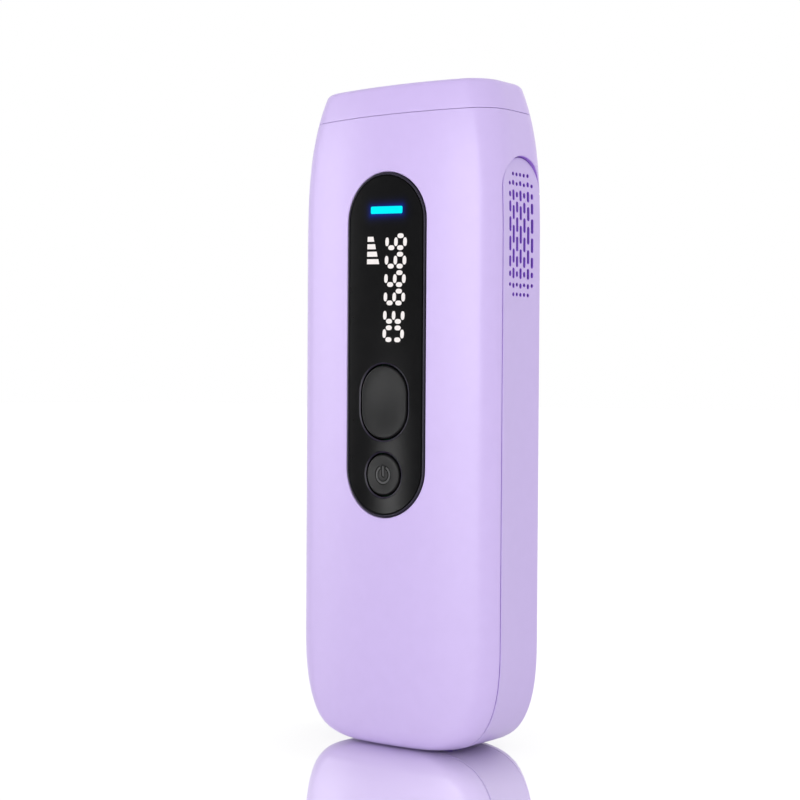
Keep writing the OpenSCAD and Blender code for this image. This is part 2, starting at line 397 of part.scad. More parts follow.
// ---------- blower ----------
fan_z = 101;
fan_y0 = 0.9; fan_y1 = 10.9;
module blower_housing() color([0.1, 0.1, 0.11]) translate([0, 0, foot]) difference() {
    box(-20, 20, fan_y0 + 1, fan_y1, fan_z - 20, fan_z + 20);
    y_cyl(0, fan_z, fan_y0 - 1, fan_y1 - 1.2, 17.6);
    box(-2, 17.6, fan_y0 - 1, fan_y1 - 1.2, fan_z, fan_z + 25);
    for (x = [-17, 17]) y_cyl(x, x > 0 ? fan_z + 17 : fan_z - 17, 0, 15, 1.15);
    y_cyl(0, fan_z, 5, 15, 2.4);
}
module blower_cover() color([0.1, 0.1, 0.11]) translate([0, 0, foot]) difference() {
    box(-20, 20, fan_y0, fan_y0 + 0.98, fan_z - 20, fan_z + 20);
    y_cyl(0, fan_z, 0, 5, 12.5);
    for (x = [-17, 17]) y_cyl(x, x > 0 ? fan_z + 17 : fan_z - 17, 0, 15, 1.15);
}
module blower_bearing() color([0.72, 0.52, 0.25]) translate([0, 0, foot]) difference() {
    union() { y_cyl(0, fan_z, fan_y1 - 4.6, fan_y1, 2.4); y_cyl(0, fan_z, fan_y1 - 1.8, fan_y1 - 1.22, 3.6); }
    y_cyl(0, fan_z, 4, fan_y1 - 0.6, 0.8);
}
module blower_impeller() color([0.14, 0.14, 0.15]) translate([0, 0, foot]) {
    difference() { y_cyl(0, fan_z, fan_y0 + 1.8, fan_y0 + 7.6, 7.5); y_cyl(0, fan_z, fan_y0 + 2.8, fan_y0 + 9, 6.7); }
    y_cyl(0, fan_z, fan_y0 + 2.7, fan_y1 - 1, 0.76);
    difference() { y_cyl(0, fan_z, fan_y0 + 6.8, fan_y0 + 7.6, 16.4); y_cyl(0, fan_z, fan_y0 + 6, fan_y0 + 9, 7.2); }
    for (k = [0:23]) translate([0, fan_y0 + 1.6, fan_z]) rotate([-90, 0, 0]) rotate([0, 0, k * 15]) translate([11.2, -0.3, 0]) rotate([0, 0, 18]) cube([5, 0.6, 5.4]);
}
module blower_screws() color([0.75, 0.75, 0.77]) translate([0, 0, foot]) for (x = [-17, 17]) screw_y(x, x > 0 ? fan_z + 17 : fan_z - 17, fan_y0, 1, 11.6);

// ---------- driver board ----------
mb_y = 8.6; // front face
mb_holes = [for (x = [-18.5, 18.5], z = [15.5, 74]) [x, z]];
module main_pcb() color([0.04, 0.3, 0.16]) translate([0, 0, foot]) difference() {
    y_prism(mb_y, mb_y + 1.6) polygon([[-22, 78], [-22, 14], [-17, 9], [17, 9], [22, 14], [22, 78]]);
    for (p = mb_holes) y_cyl(p[0], p[1], 8, 12, 1.2);
}
module main_pcb_screws() color([0.75, 0.75, 0.77]) translate([0, 0, foot]) for (p = mb_holes) screw_y(p[0], p[1], mb_y, 1, 3.6);
module flash_capacitor() color([0.12, 0.14, 0.3]) translate([-12, -0.6, foot]) {
    difference() { union() { translate([0, 0, 18]) cylinder(r = 9, h = 35); } translate([0, 0, 52.6]) difference() { cylinder(r = 8, h = 1); translate([0, 0, -1]) cylinder(r = 7.6, h = 3); } translate([-6, -0.2, 52.6]) cube([12, 0.4, 1]); translate([-0.2, -6, 52.6]) cube([0.4, 12, 1]); }
    for (x = [-3.75, 3.75]) translate([x, 0, 15.4]) cylinder(r = 0.5, h = 2.7);
}
module transformer_core() color([0.22, 0.21, 0.2]) translate([0, 0, foot]) difference() {
    box(2.5, 20.5, -6.6, 8, 30, 34.2);
    box(6.2, 16.8, -9, -3, 28, 36);
    box(6.2, 16.8, 4.4, 12, 28, 36);
}
module transformer_coil() color([0.85, 0.55, 0.2]) translate([0, 0, foot]) difference() {
    union() { box(5, 18, -5, 8.55, 34.4, 35.4); box(5, 18, -5, 8.55, 47, 48); translate([11.5, 1.6, 35.3]) cylinder(r = 5.9, h = 11.8); }
    translate([11.5, 1.6, 30]) cylinder(r = 2.4, h = 22);
}
module trigger_coil() color([0.8, 0.35, 0.12]) translate([0, 0, foot]) difference() {
    union() { x_cyl(4.2, 60, 0.5, 1.5, 4.3); x_cyl(4.2, 60, 13, 14, 4.3); x_cyl(4.2, 60, 1.4, 13.1, 3.5); }
    x_cyl(4.2, 60, -2, 16, 1.4);
}
module power_transistor() color([0.13, 0.13, 0.14]) translate([0, 0, foot]) { difference() { box(-20, -10, 4.2, 8.55, 58, 67.5); y_cyl(-15, 64.6, 3, 10, 1.6); } for (i = [-1:1]) box(-15.4 + i * 2.5, -14.6 + i * 2.5, 6.4, 7, 54.8, 58.05); }
module driver_chips() color([0.1, 0.1, 0.11]) translate([0, 0, foot]) { box(-6, 0, 7, 8.55, 66, 72); box(-4.5, 4.5, 7.2, 8.55, 12, 18); box(8, 13, 7.2, 8.55, 18, 23); for (i = [0:3]) box(-8 + i * 4, -6.2 + i * 4, 7.7, 8.55, 74, 75.2); }

// ---------- power inlet ----------
module dc_jack() color([0.1, 0.1, 0.11]) translate([0, 0, foot]) difference() {
    box(-4.7, 4.7, -5.6, 5.6, 2.15, 14.8);
    translate([0, 0, 1]) cylinder(r = 2.85, h = 11.4);
    translate([0, 0, 10]) cylinder(r = 1.05, h = 8);
}
module dc_jack_contacts() color([0.78, 0.76, 0.7]) translate([0, 0, foot]) {
    translate([0, 0, 5]) cylinder(r = 1, h = 10.8);
    translate([-1, 5.65, 6]) cube([2, 0.5, 9.8]);
}
module dc_leads() color([0.1, 0.1, 0.1]) translate([0, 0, foot]) {
    tube([[0, 0, 15.83], [0, 0, 16.6], [0, 0.6, 17.9], [-0.4, 2, 19.6], [-0.9, 4, 21], [-1, 6, 22], [-1, 7.6, 22.3], [-1, 8.56, 22.3]], 0.6, [1, 0.1, 0]);
    tube([[0.2, 5.9, 15.83], [0.2, 5.9, 16.6], [0.8, 6.1, 18], [1.8, 6.5, 19.2], [2.5, 7.1, 20.2], [2.8, 7.8, 20.5], [2.8, 8.56, 20.5]], 0.6, [1, 0.1, 0]);
}
module ribbon_cable() color([0.85, 0.6, 0.25]) translate([-9, 0, foot]) rotate([90, 0, 90]) linear_extrude(height = 8) polygon([[-8.38, 60.2], [-5.4, 60.2], [-2.6, 59], [0.4, 57], [3.2, 55.2], [5.4, 54.4], [8.58, 54.3], [8.58, 54], [5.3, 54.1], [3, 54.9], [0.2, 56.7], [-2.7, 58.7], [-5.4, 59.9], [-8.38, 59.9]]);
module case_screws() color([0.75, 0.75, 0.77]) translate([0, 0, foot]) for (p = case_points, s = [-1, 1]) mirror([s > 0 ? 0 : 1, 0, 0]) {
    difference() { x_cyl(p[0], p[1], 27.8, 28.7, 1.95); box(28.3, 29, p[0] - 1.2, p[0] + 1.2, p[1] - 0.25, p[1] + 0.25); }
    x_cyl(p[0], p[1], 23.6, 27.85, 1);
}
module vent_screens() color([0.35, 0.35, 0.4]) translate([0, 0, foot]) for (s = [-1, 1]) mirror([s > 0 ? 0 : 1, 0, 0]) difference() {
    box(26.9, 27.4, -5.75, 5.75, 112.15, 140.8);
    for (i = [-2:2], k = [0:8]) box(26, 28, i * 2.1 - 0.75, i * 2.1 + 0.75, 113.4 + k * 3, 115.6 + k * 3);
}

front_shell();
rear_shell();
side_trim();
base_plate();
head_cap();
control_panel();
display_digits();
level_bars();
light_bar();
display_module();
flash_button();
power_button();
flash_switch();
flash_switch_plunger();
power_switch();
power_switch_plunger();
control_pcb();
control_pcb_screws();
window_bezel();
window_gasket();
sapphire_window();
skin_sensors();
cold_frame();
filter_glass();
lamp_holder();
reflector();
xenon_lamp();
lamp_electrodes();
lamp_leads();
head_screws();
cooler_module();
heat_sink();
blower_housing();
blower_cover();
blower_bearing();
blower_impeller();
blower_screws();
main_pcb();
main_pcb_screws();
flash_capacitor();
transformer_core();
transformer_coil();
trigger_coil();
power_transistor();
driver_chips();
dc_jack();
dc_jack_contacts();
dc_leads();
ribbon_cable();
case_screws();
vent_screens();
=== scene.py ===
import math

import bpy
import numpy as np
from mathutils import Matrix, Vector
from mathutils.geometry import delaunay_2d_cdt


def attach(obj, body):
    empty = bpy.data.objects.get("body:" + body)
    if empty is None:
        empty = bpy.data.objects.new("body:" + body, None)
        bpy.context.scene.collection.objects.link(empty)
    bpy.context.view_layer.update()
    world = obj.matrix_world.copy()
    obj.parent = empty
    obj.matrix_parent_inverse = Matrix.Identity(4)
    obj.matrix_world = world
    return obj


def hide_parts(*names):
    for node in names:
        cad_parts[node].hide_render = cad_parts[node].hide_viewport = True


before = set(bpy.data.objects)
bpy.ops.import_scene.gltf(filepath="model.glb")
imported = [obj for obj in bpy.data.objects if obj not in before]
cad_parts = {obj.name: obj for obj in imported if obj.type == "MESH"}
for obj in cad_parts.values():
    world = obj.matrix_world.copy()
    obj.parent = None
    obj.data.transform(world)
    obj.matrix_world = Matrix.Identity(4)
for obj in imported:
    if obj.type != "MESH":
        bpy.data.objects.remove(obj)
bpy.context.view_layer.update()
MM = 0.001

# ------------------------------------------------------------------ camera
TH, EL, ROLL = math.radians(36.705), math.radians(0.962), math.radians(0.368)
DIST, FPX, CX, CY = 0.44954, 1766.46, 419.10, 416.20
back = Vector((math.sin(TH) * math.cos(EL), -math.cos(TH) * math.cos(EL), math.sin(EL)))
target = Vector((0.0, -0.000415, 0.0827))
cam_data = bpy.data.cameras.new("camera")
cam_data.sensor_width = 36.0
cam_data.sensor_fit = "HORIZONTAL"
cam_data.lens = FPX * 36.0 / 800.0
cam_data.shift_x = -(CX - 400.0) / 800.0
cam_data.shift_y = (CY - 400.0) / 800.0
cam_data.clip_start = 0.01
cam_data.clip_end = 50.0
cam = bpy.data.objects.new("camera", cam_data)
bpy.context.scene.collection.objects.link(cam)
rgt = Vector((math.cos(TH), math.sin(TH), 0.0))
upv = (-back).cross(rgt) * -1.0
upv = back.cross(rgt)
# image content turned clockwise by ROLL: the camera turns the other way
r2 = rgt * math.cos(ROLL) + upv * math.sin(ROLL)
u2 = upv * math.cos(ROLL) - rgt * math.sin(ROLL)
pos = target + back * DIST
cam.matrix_world = Matrix(((r2.x, u2.x, back.x, pos.x), (r2.y, u2.y, back.y, pos.y), (r2.z, u2.z, back.z, pos.z), (0, 0, 0, 1)))
bpy.context.scene.camera = cam

# ------------------------------------------------------------------ body form (mm)
H, A0, B0, RF, RC = 165.0, 31.7, 15.3, 99.0, 8.2
TA, TF, TB, TZ, TN = 5.7, 2.7, 1.9, 121.0, 3.46
FOOT, CXR, CZR, CN, RB = 0.2, 21.3, 28.1, 2.67, 5.4
TW, TT, TOP, GAP, DISH = 7.82, 1.9, 146.1, 0.28, 0.45
SEAM, COVER = 157.3, 138.0
FCY = -B0 + RF


def taper(z):
    return max(0.0, (z - TZ) / (H - TZ)) ** TN


def base_curve(z):
    if z >= CZR:
        return 0.0
    q = min(1.0, (CZR - z) / CZR)
    return CXR * (1 - max(0.0, 1 - q**CN) ** (1 / CN))


def base_round(z, r):
    return 0.0 if z >= r else r * (1 - math.sqrt(max(0.0, 1 - ((r - z) / r) ** 2)))


def half_w(z):
    return A0 - TA * taper(z) - base_curve(z)


def half_f(z):
    return B0 - TF * taper(z) - base_round(z, RB)


def half_b(z):
    return B0 - TB * taper(z) - base_round(z, RB)


def sect(z, back_side, shrink=0.0):
    """a, b, c, R, p, corner y, arc lengths of a half section"""
    b = (half_b(z) if back_side else half_f(z)) - shrink
    a = half_w(z) - shrink
    c = max(0.6, RC - shrink)
    R = RF - shrink
    p = math.asin(min(0.9, (a - c) / (R - c)))
    cy = min(-0.3, -b + R - (R - c) * math.cos(p))
    y0 = cy + (R - c) * math.cos(p)
    return a, b, c, R, p, cy, y0, R * p, c * (math.pi / 2 - p), -cy


VB = RB * math.pi / 2


def zmap(v):
    return RB * (1 - math.cos(v / RB)) if v < VB else RB + v - VB


def vmap(z):
    return RB * math.acos(1 - z / RB) if z < RB else VB + z - RB


def body_point(u, v):
    """u: length along the section from the front centre (past the side line it runs on to the back); v: length up the profile, negative on the flat of the base"""
    z, shrink = (0.0, -v) if v < 0 else (zmap(v), 0.0)
    sgn = 1.0 if u >= 0 else -1.0
    s = abs(u)
    a, b, c, R, p, cy, y0, l1, l2, l3 = sect(z, False, shrink)
    if s <= l1:
        t = s / R
        return (sgn * R * math.sin(t), y0 - R * math.cos(t), z)
    s -= l1
    if s <= l2:
        t = p + s / c
        return (sgn * (a - c + c * math.sin(t)), cy - c * math.cos(t), z)
    s -= l2
    if s <= l3:
        return (sgn * a, cy + s, z)
    s -= l3
    a, b, c, R, p, cy, y0, l1, l2, l3 = sect(z, True, shrink)
    if s <= l3:
        return (sgn * a, s, z)
    s -= l3
    if s <= l2:
        t = math.pi / 2 - s / c
        return (sgn * (a - c + c * math.sin(t)), -cy + c * math.cos(t), z)
    s -= l2
    t = p - s / R
    return (sgn * R * math.sin(t), -y0 + R * math.cos(t), z)


def edge_u(v, w, back_side):
    """length along the section to where |y| = w, on the front or the back"""
    z, shrink = (0.0, -v) if v < 0 else (zmap(v), 0.0)
    a, b, c, R, p, cy, y0, l1, l2, l3 = sect(z, back_side, shrink)
    if w >= b - 1e-6:
        return 0.0
    if w <= -cy:
        return l1 + l2 + (-cy - w)
    if w <= -(cy - c * math.cos(p)):
        t = math.acos(max(-1, min(1, (w + cy) / c)))
        return l1 + (t - p) * c
    t = math.acos(max(-1, min(1, (y0 + w) / R)))
    return R * t


def full_u(v):
    z = zmap(v)
    f, g = sect(z, False), sect(z, True)
    return f[7] + f[8] + f[9], g[7] + g[8] + g[9]


def rear_point(u, v):
    """the back half, u measured from the back centre"""
    z, shrink = (0.0, -v) if v < 0 else (zmap(v), 0.0)
    sgn = 1.0 if u >= 0 else -1.0
    s = abs(u)
    a, b, c, R, p, cy, y0, l1, l2, l3 = sect(z, True, shrink)
    if s <= l1:
        t = s / R
        return (-sgn * R * math.sin(t), -y0 + R * math.cos(t), z)
    s -= l1
    if s <= l2:
        t = p + s / c
        return (-sgn * (a - c + c * math.sin(t)), -cy + c * math.cos(t), z)
    s -= l2
    return (-sgn * a, -cy - s, z)


# ------------------------------------------------------------------ mesh tools
def inside(px, py, poly):
    x, y = poly[:, 0], poly[:, 1]
    x2, y2 = np.roll(x, -1), np.roll(y, -1)
    res = np.zeros(len(px), bool)
    for i in range(len(x)):
        c = (y[i] > py) != (y2[i] > py)
        if c.any():
            res ^= c & (px < (x2[i] - x[i]) * (py - y[i]) / (y2[i] - y[i] + 1e-30) + x[i])
    return res


def near(px, py, poly, d):
    a = poly
    b = np.roll(poly, -1, 0)
    res = np.zeros(len(px), bool)
    for i in range(len(a)):
        ax, ay = a[i]
        dx, dy = b[i] - a[i]
        L = dx * dx + dy * dy
        if L < 1e-12:
            continue
        m = (px > min(ax, ax + dx) - d) & (px < max(ax, ax + dx) + d) & (py > min(ay, ay + dy) - d) & (py < max(ay, ay + dy) + d)
        if not m.any():
            continue
        t = np.clip(((px[m] - ax) * dx + (py[m] - ay) * dy) / L, 0, 1)
        q = (px[m] - ax - t * dx) ** 2 + (py[m] - ay - t * dy) ** 2 < d * d
        idx = np.nonzero(m)[0][q]
        res[idx] = True
    return res


class Builder:
    def __init__(self):
        self.v, self.n, self.f, self.m = [], [], [], []

    def add(self, verts, norms, faces, mat=0):
        self.m += [mat] * len(faces)
        o = len(self.v)
        self.v += [tuple(x) for x in verts]
        self.n += [tuple(x) for x in norms]
        self.f += [tuple(i + o for i in f) for f in faces]

    def make(self, name, body, mats, replaces=()):
        me = bpy.data.meshes.new(name)
        me.from_pydata([(x * MM, y * MM, (z + FOOT) * MM) for x, y, z in self.v], [], self.f)
        me.polygons.foreach_set("use_smooth", [True] * len(me.polygons))
        me.update()
        me.normals_split_custom_set_from_vertices([Vector(n).normalized() for n in self.n])
        ob = bpy.data.objects.new(name, me)
        bpy.context.scene.collection.objects.link(ob)
        for m in mats:
            me.materials.append(m)
        me.polygons.foreach_set("material_index", self.m)
        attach(ob, body)
        if replaces:
            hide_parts(*replaces)
        return ob


def unit(v):
    return v / (np.linalg.norm(v, axis=-1, keepdims=True) + 1e-12)


class Patch:
    """a surface over a flat domain, with an outline and holes whose edges follow a profile"""

    def __init__(self, surf, flip=False):
        self.surf, self.flip = surf, flip

    def pn(self, uv):
        e = 0.02
        P = np.array([self.surf(u, v) for u, v in uv])
        U = np.array([self.surf(u + e, v) for u, v in uv]) - np.array([self.surf(u - e, v) for u, v in uv])
        V = np.array([self.surf(u, v + e) for u, v in uv]) - np.array([self.surf(u, v - e) for u, v in uv])
        n = unit(np.cross(U, V))
        if self.flip:
            n = -n
        return P, n

    def ring(self, b, loop, profile, outer, mats=()):
        """profile: runs of (t, d) from the surface to the wall; t is how far into the material, d the depth"""
        for ri, run in enumerate(profile):
            rows = []
            for k, (t, d) in enumerate(run):
                t0, d0 = run[max(0, k - 1)]
                t1, d1 = run[min(len(run) - 1, k + 1)]
                uv = loop(t)
                P, n = self.pn(uv)
                Q, _ = self.pn(loop(t - 0.05))
                R, _ = self.pn(loop(t + 0.05))
                e = Q - R
                e = e - n * (e * n).sum(-1, keepdims=True)
                e = unit(e)
                dt, dd = t1 - t0, d1 - d0
                L = math.hypot(dt, dd) + 1e-12
                rows.append((P - n * d, unit(e * (dd / L) + n * (-dt / L))))
            m = len(rows[0][0])
            verts = np.concatenate([r[0] for r in rows])
            norms = np.concatenate([r[1] for r in rows])
            faces = []
            for k in range(len(rows) - 1):
                for i in range(m):
                    j = (i + 1) % m
                    faces.append([k * m + i, k * m + j, (k + 1) * m + j, (k + 1) * m + i])
            self.orient(verts, norms, faces)
            b.add(verts, norms, faces, mats[ri] if ri < len(mats) else 0)

    @staticmethod
    def orient(verts, norms, faces):
        for f in faces:
            a, c, d = verts[f[0]], verts[f[1]], verts[f[2]]
            g = np.cross(c - a, d - a)
            if np.dot(g, g) < 1e-16 and len(f) == 4:
                g = np.cross(verts[f[2]] - a, verts[f[3]] - a)
            if np.dot(g, norms[f[0]] + norms[f[2]]) < 0:
                f.reverse()

    def fill(self, b, outer, holes, points, depth=0.0, invert=False):
        """outer, holes: arrays of points; points: inner points of the mesh"""
        loops = [outer] + holes
        pts = [Vector(p) for l in loops for p in l]
        edges, o = [], 0
        for l in loops:
            edges += [(o + i, o + (i + 1) % len(l)) for i in range(len(l))]
            o += len(l)
        pts += [Vector(p) for p in points]
        co, _, fc, _, _, _ = delaunay_2d_cdt(pts, edges, [], 1, 1e-6)
        co = np.array([[c.x, c.y] for c in co])
        tri = np.array([list(f) for f in fc])
        cen = co[tri].mean(1)
        keep = inside(cen[:, 0], cen[:, 1], np.array(outer))
        for h in holes:
            keep &= ~inside(cen[:, 0], cen[:, 1], np.array(h))
        tri = tri[keep]
        P, n = self.pn(co)
        P = P - n * depth
        if invert:
            n = -n
        faces = tri.tolist()
        self.orient(P, n, faces)
        b.add(P, n, faces)


def grid_points(outer, holes, h, margin, hv=None, extra=()):
    hv = hv or h
    lo, hi = outer.min(0), outer.max(0)
    gx, gy = np.meshgrid(np.arange(lo[0] + h / 2, hi[0], h), np.arange(lo[1] + hv / 2, hi[1], hv))
    px, py = gx.ravel(), gy.ravel()
    if len(extra):
        px, py = np.concatenate([px, [e[0] for e in extra]]), np.concatenate([py, [e[1] for e in extra]])
    k = inside(px, py, outer) & ~near(px, py, outer, margin)
    for q in holes:
        k &= ~inside(px, py, q) & ~near(px, py, q, margin)
    return np.stack([px[k], py[k]], -1)


def fillet(r, depth, n=4, t0=0.0):
    run = [(t0 + r * (1 - math.sin(a)), r * (1 - math.cos(a))) for a in [math.pi / 2 * i / n for i in range(n + 1)]]
    return [run, [(t0, r), (t0, depth)]] if depth > r else [run]


def stadium(w, l, t, n=24, along="v"):
    """outline of half width w and half length l, grown by t"""
    r, c = w + t, l - w
    pts = []
    for k in (0, 1):
        for i in range(n + 1):
            a = math.pi * k + math.pi * i / n
            s = 1 if k == 0 else -1
            pts.append((r * math.cos(a), s * c + r * math.sin(a)))
    if c > 2:
        m = max(1, int(2 * c / 2.0))
        out = pts[: n + 1] + [(-r, c - 2 * c * i / m) for i in range(1, m)] + pts[n + 1 :] + [(r, -c + 2 * c * i / m) for i in range(1, m)]
        pts = out
    return np.array(pts)


def circle(r, n=48):
    return np.array([(r * math.cos(2 * math.pi * i / n), r * math.sin(2 * math.pi * i / n)) for i in range(n)])


def rrect(w, h, r, n=8, seg=1.5):
    pts = []
    for cx, cy, a0 in ((1, 1, 0), (-1, 1, 90), (-1, -1, 180), (1, -1, 270)):
        for i in range(n + 1):
            a = math.radians(a0 + 90 * i / n)
            pts.append((cx * (w / 2 - r) + r * math.cos(a), cy * (h / 2 - r) + r * math.sin(a)))
    out = []
    for i in range(len(pts)):
        p, q = np.array(pts[i]), np.array(pts[(i + 1) % len(pts)])
        m = max(1, int(np.linalg.norm(q - p) / seg))
        out += [p + (q - p) * k / m for k in range(m)]
    return np.array(out)


# ------------------------------------------------------------------ materials
def srgb(r, g, b):
    f = lambda c: c / 12.92 if c <= 0.04045 else ((c + 0.055) / 1.055) ** 2.4
    return (f(r / 255), f(g / 255), f(b / 255), 1.0)


def material(name, c1, c2, rough, rough2=None, scale=600.0, bump=0.02, bump_scale=2500.0, metallic=0.0, spec=0.5, coat=0.0, coat_rough=0.1, sss=0.0, emit=None, emit_strength=0.0, alpha=1.0, transmission=0.0, ior=1.46, detail=3.0):
    m = bpy.data.materials.new(name)
    m.use_nodes = True
    nt = m.node_tree
    bs = nt.nodes["Principled BSDF"]
    tc = nt.nodes.new("ShaderNodeTexCoord")
    no = nt.nodes.new("ShaderNodeTexNoise")
    no.inputs["Scale"].default_value = scale
    no.inputs["Detail"].default_value = detail
    nt.links.new(tc.outputs["Object"], no.inputs["Vector"])
    cr = nt.nodes.new("ShaderNodeValToRGB")
    cr.color_ramp.elements[0].position = 0.3
    cr.color_ramp.elements[1].position = 0.7
    cr.color_ramp.elements[0].color = c1
    cr.color_ramp.elements[1].color = c2
    nt.links.new(no.outputs["Fac"], cr.inputs["Fac"])
    nt.links.new(cr.outputs["Color"], bs.inputs["Base Color"])
    mr = nt.nodes.new("ShaderNodeMapRange")
    mr.inputs["To Min"].default_value = rough
    mr.inputs["To Max"].default_value = rough2 if rough2 is not None else rough * 1.15
    nt.links.new(no.outputs["Fac"], mr.inputs["Value"])
    nt.links.new(mr.outputs["Result"], bs.inputs["Roughness"])
    if bump:
        n2 = nt.nodes.new("ShaderNodeTexNoise")
        n2.inputs["Scale"].default_value = bump_scale
        n2.inputs["Detail"].default_value = 2.0
        nt.links.new(tc.outputs["Object"], n2.inputs["Vector"])
        bp = nt.nodes.new("ShaderNodeBump")
        bp.inputs["Strength"].default_value = bump
        bp.inputs["Distance"].default_value = 0.0002
        nt.links.new(n2.outputs["Fac"], bp.inputs["Height"])
        nt.links.new(bp.outputs["Normal"], bs.inputs["Normal"])
    bs.inputs["Metallic"].default_value = metallic
    bs.inputs["Specular IOR Level"].default_value = spec
    bs.inputs["IOR"].default_value = ior
    bs.inputs["Coat Weight"].default_value = coat
    bs.inputs["Coat Roughness"].default_value = coat_rough
    if sss:
        bs.inputs["Subsurface Weight"].default_value = sss
        bs.inputs["Subsurface Radius"].default_value = (0.6, 0.5, 0.8)
        bs.inputs["Subsurface Scale"].default_value = 0.001
    if emit:
        bs.inputs["Emission Color"].default_value = emit
        bs.inputs["Emission Strength"].default_value = emit_strength
    bs.inputs["Alpha"].default_value = alpha
    bs.inputs["Transmission Weight"].default_value = transmission
    return m


LILAC = (205, 184, 238)
M = {}
M["lilac"] = material("lilac_satin", srgb(203, 183, 235), srgb(205, 185, 237), 0.33, 0.36, 260.0, 0.02, 3600.0, spec=0.5)
M["trim"] = material("lilac_trim", srgb(199, 180, 231), srgb(201, 182, 233), 0.36, 0.4, 260.0, 0.03, 3600.0, spec=0.5)
# painted shade: a darker lilac for the walls of the channel, the seams and the slot edges, where the gaps fall into
# shade
M["deep"] = material("lilac_gap_painted_shade", srgb(158, 116, 214), srgb(164, 122, 218), 0.5, 0.55, 260.0, 0.02, 3600.0, spec=0.2)
# painted shade: a deeper violet for the walls inside the vent slots
M["slot"] = material("lilac_slot", srgb(140, 94, 216), srgb(146, 102, 220), 0.55, 0.6, 260.0, 0.02, 3600.0, spec=0.15)
# the bezel rim's own dark colour, lightened as a painted highlight line; also used on the key-hole bevels for the same
# painted highlight
M["rim"] = material("lens_rim_and_bevel_highlight", (0.012, 0.009, 0.022, 1), (0.015, 0.011, 0.026, 1), 0.3, 0.34, 400.0, 0.005, 4000.0, spec=0.22)
# painted shade: the base plate's lilac darkened to a saturated violet, as the underside falls into shade near the floor
M["plate"] = material("lilac_plate", srgb(148, 98, 236), srgb(154, 106, 240), 0.42, 0.5, 120.0, 0.04, 3000.0)
M["lens"] = material("smoked_lens", (0.0025, 0.0025, 0.003, 1), (0.0035, 0.0035, 0.004, 1), 0.2, 0.23, 300.0, 0.003, 4500.0, spec=0.07)
M["key"] = material("key_black", (0.004, 0.004, 0.0045, 1), (0.0055, 0.0055, 0.006, 1), 0.28, 0.31, 400.0, 0.03, 5500.0, spec=0.15)
M["icon"] = material("key_icon", (0.05, 0.05, 0.052, 1), (0.058, 0.058, 0.06, 1), 0.4, 0.45, 400.0, 0.02, 5000.0, spec=0.3)
# painted shade: near-black matt with almost no sheen for the floors and walls of the gaps round the lens, the keys and
# the icon
M["groove"] = material("key_groove_painted_shade", (0.002, 0.002, 0.002, 1), (0.003, 0.003, 0.003, 1), 0.6, 0.7, 300.0, 0.0, spec=0.02)
M["digit"] = material("display_white", (0.3, 0.28, 0.28, 1), (0.34, 0.32, 0.32, 1), 0.5, 0.55, 800.0, 0.0, emit=(1, 0.95, 0.93, 1), emit_strength=0.56)
M["cyan"] = material("light_cyan", (0.0, 0.1, 0.14, 1), (0.0, 0.12, 0.16, 1), 0.5, 0.55, 800.0, 0.0, spec=0.02, emit=(0.0, 0.84, 0.93, 1), emit_strength=1.0)
M["black"] = material("moulded_black", (0.02, 0.02, 0.021, 1), (0.03, 0.03, 0.031, 1), 0.5, 0.6, 400.0, 0.08)
M["cream"] = material("moulded_cream", srgb(222, 208, 180), srgb(228, 215, 188), 0.5, 0.55, 500.0, 0.03)
M["steel"] = material("plated_steel", (0.5, 0.5, 0.52, 1), (0.6, 0.6, 0.62, 1), 0.28, 0.4, 900.0, 0.05, metallic=1.0)
M["alu"] = material("machined_aluminium", (0.62, 0.63, 0.65, 1), (0.72, 0.73, 0.75, 1), 0.3, 0.42, 900.0, 0.06, metallic=1.0)
M["bezel"] = material("satin_bezel", (0.72, 0.7, 0.76, 1), (0.8, 0.78, 0.84, 1), 0.24, 0.32, 700.0, 0.03, metallic=1.0)
M["chrome"] = material("contact_metal", (0.68, 0.68, 0.7, 1), (0.76, 0.76, 0.78, 1), 0.14, 0.22, 900.0, 0.02, metallic=1.0)
M["silicone"] = material("silicone_grey", (0.03, 0.03, 0.032, 1), (0.045, 0.045, 0.047, 1), 0.6, 0.7, 500.0, 0.05)
M["sapphire"] = material("sapphire_clear", (0.82, 0.9, 0.98, 1), (0.86, 0.93, 1.0, 1), 0.02, 0.04, 300.0, 0.0, transmission=1.0, ior=1.6, spec=0.6)
M["amber"] = material("amber_filter", (0.95, 0.5, 0.12, 1), (1.0, 0.56, 0.16, 1), 0.03, 0.06, 300.0, 0.0, transmission=0.85, ior=1.5)
M["quartz"] = material("clear_quartz", (0.93, 0.95, 0.97, 1), (0.97, 0.98, 1.0, 1), 0.01, 0.03, 300.0, 0.0, transmission=0.95, ior=1.46)
M["ceramic"] = material("white_ceramic", srgb(236, 234, 228), srgb(243, 241, 236), 0.45, 0.55, 700.0, 0.03)
M["mirror"] = material("reflector_foil", (0.88, 0.88, 0.9, 1), (0.92, 0.92, 0.94, 1), 0.06, 0.12, 500.0, 0.02, metallic=1.0)
M["red"] = material("red_silicone_wire", (0.42, 0.01, 0.01, 1), (0.5, 0.02, 0.015, 1), 0.45, 0.55, 500.0, 0.03)
M["wire"] = material("black_vinyl_wire", (0.015, 0.015, 0.015, 1), (0.025, 0.025, 0.025, 1), 0.45, 0.55, 500.0, 0.03)
M["bronze"] = material("sintered_bronze", (0.42, 0.24, 0.08, 1), (0.52, 0.31, 0.12, 1), 0.4, 0.55, 1500.0, 0.1, metallic=1.0)
M["sleeve"] = material("capacitor_sleeve", (0.008, 0.012, 0.07, 1), (0.012, 0.018, 0.1, 1), 0.25, 0.33, 300.0, 0.03, coat=0.3)
M["ferrite"] = material("ferrite_grey", (0.03, 0.028, 0.026, 1), (0.05, 0.047, 0.044, 1), 0.65, 0.8, 900.0, 0.15)
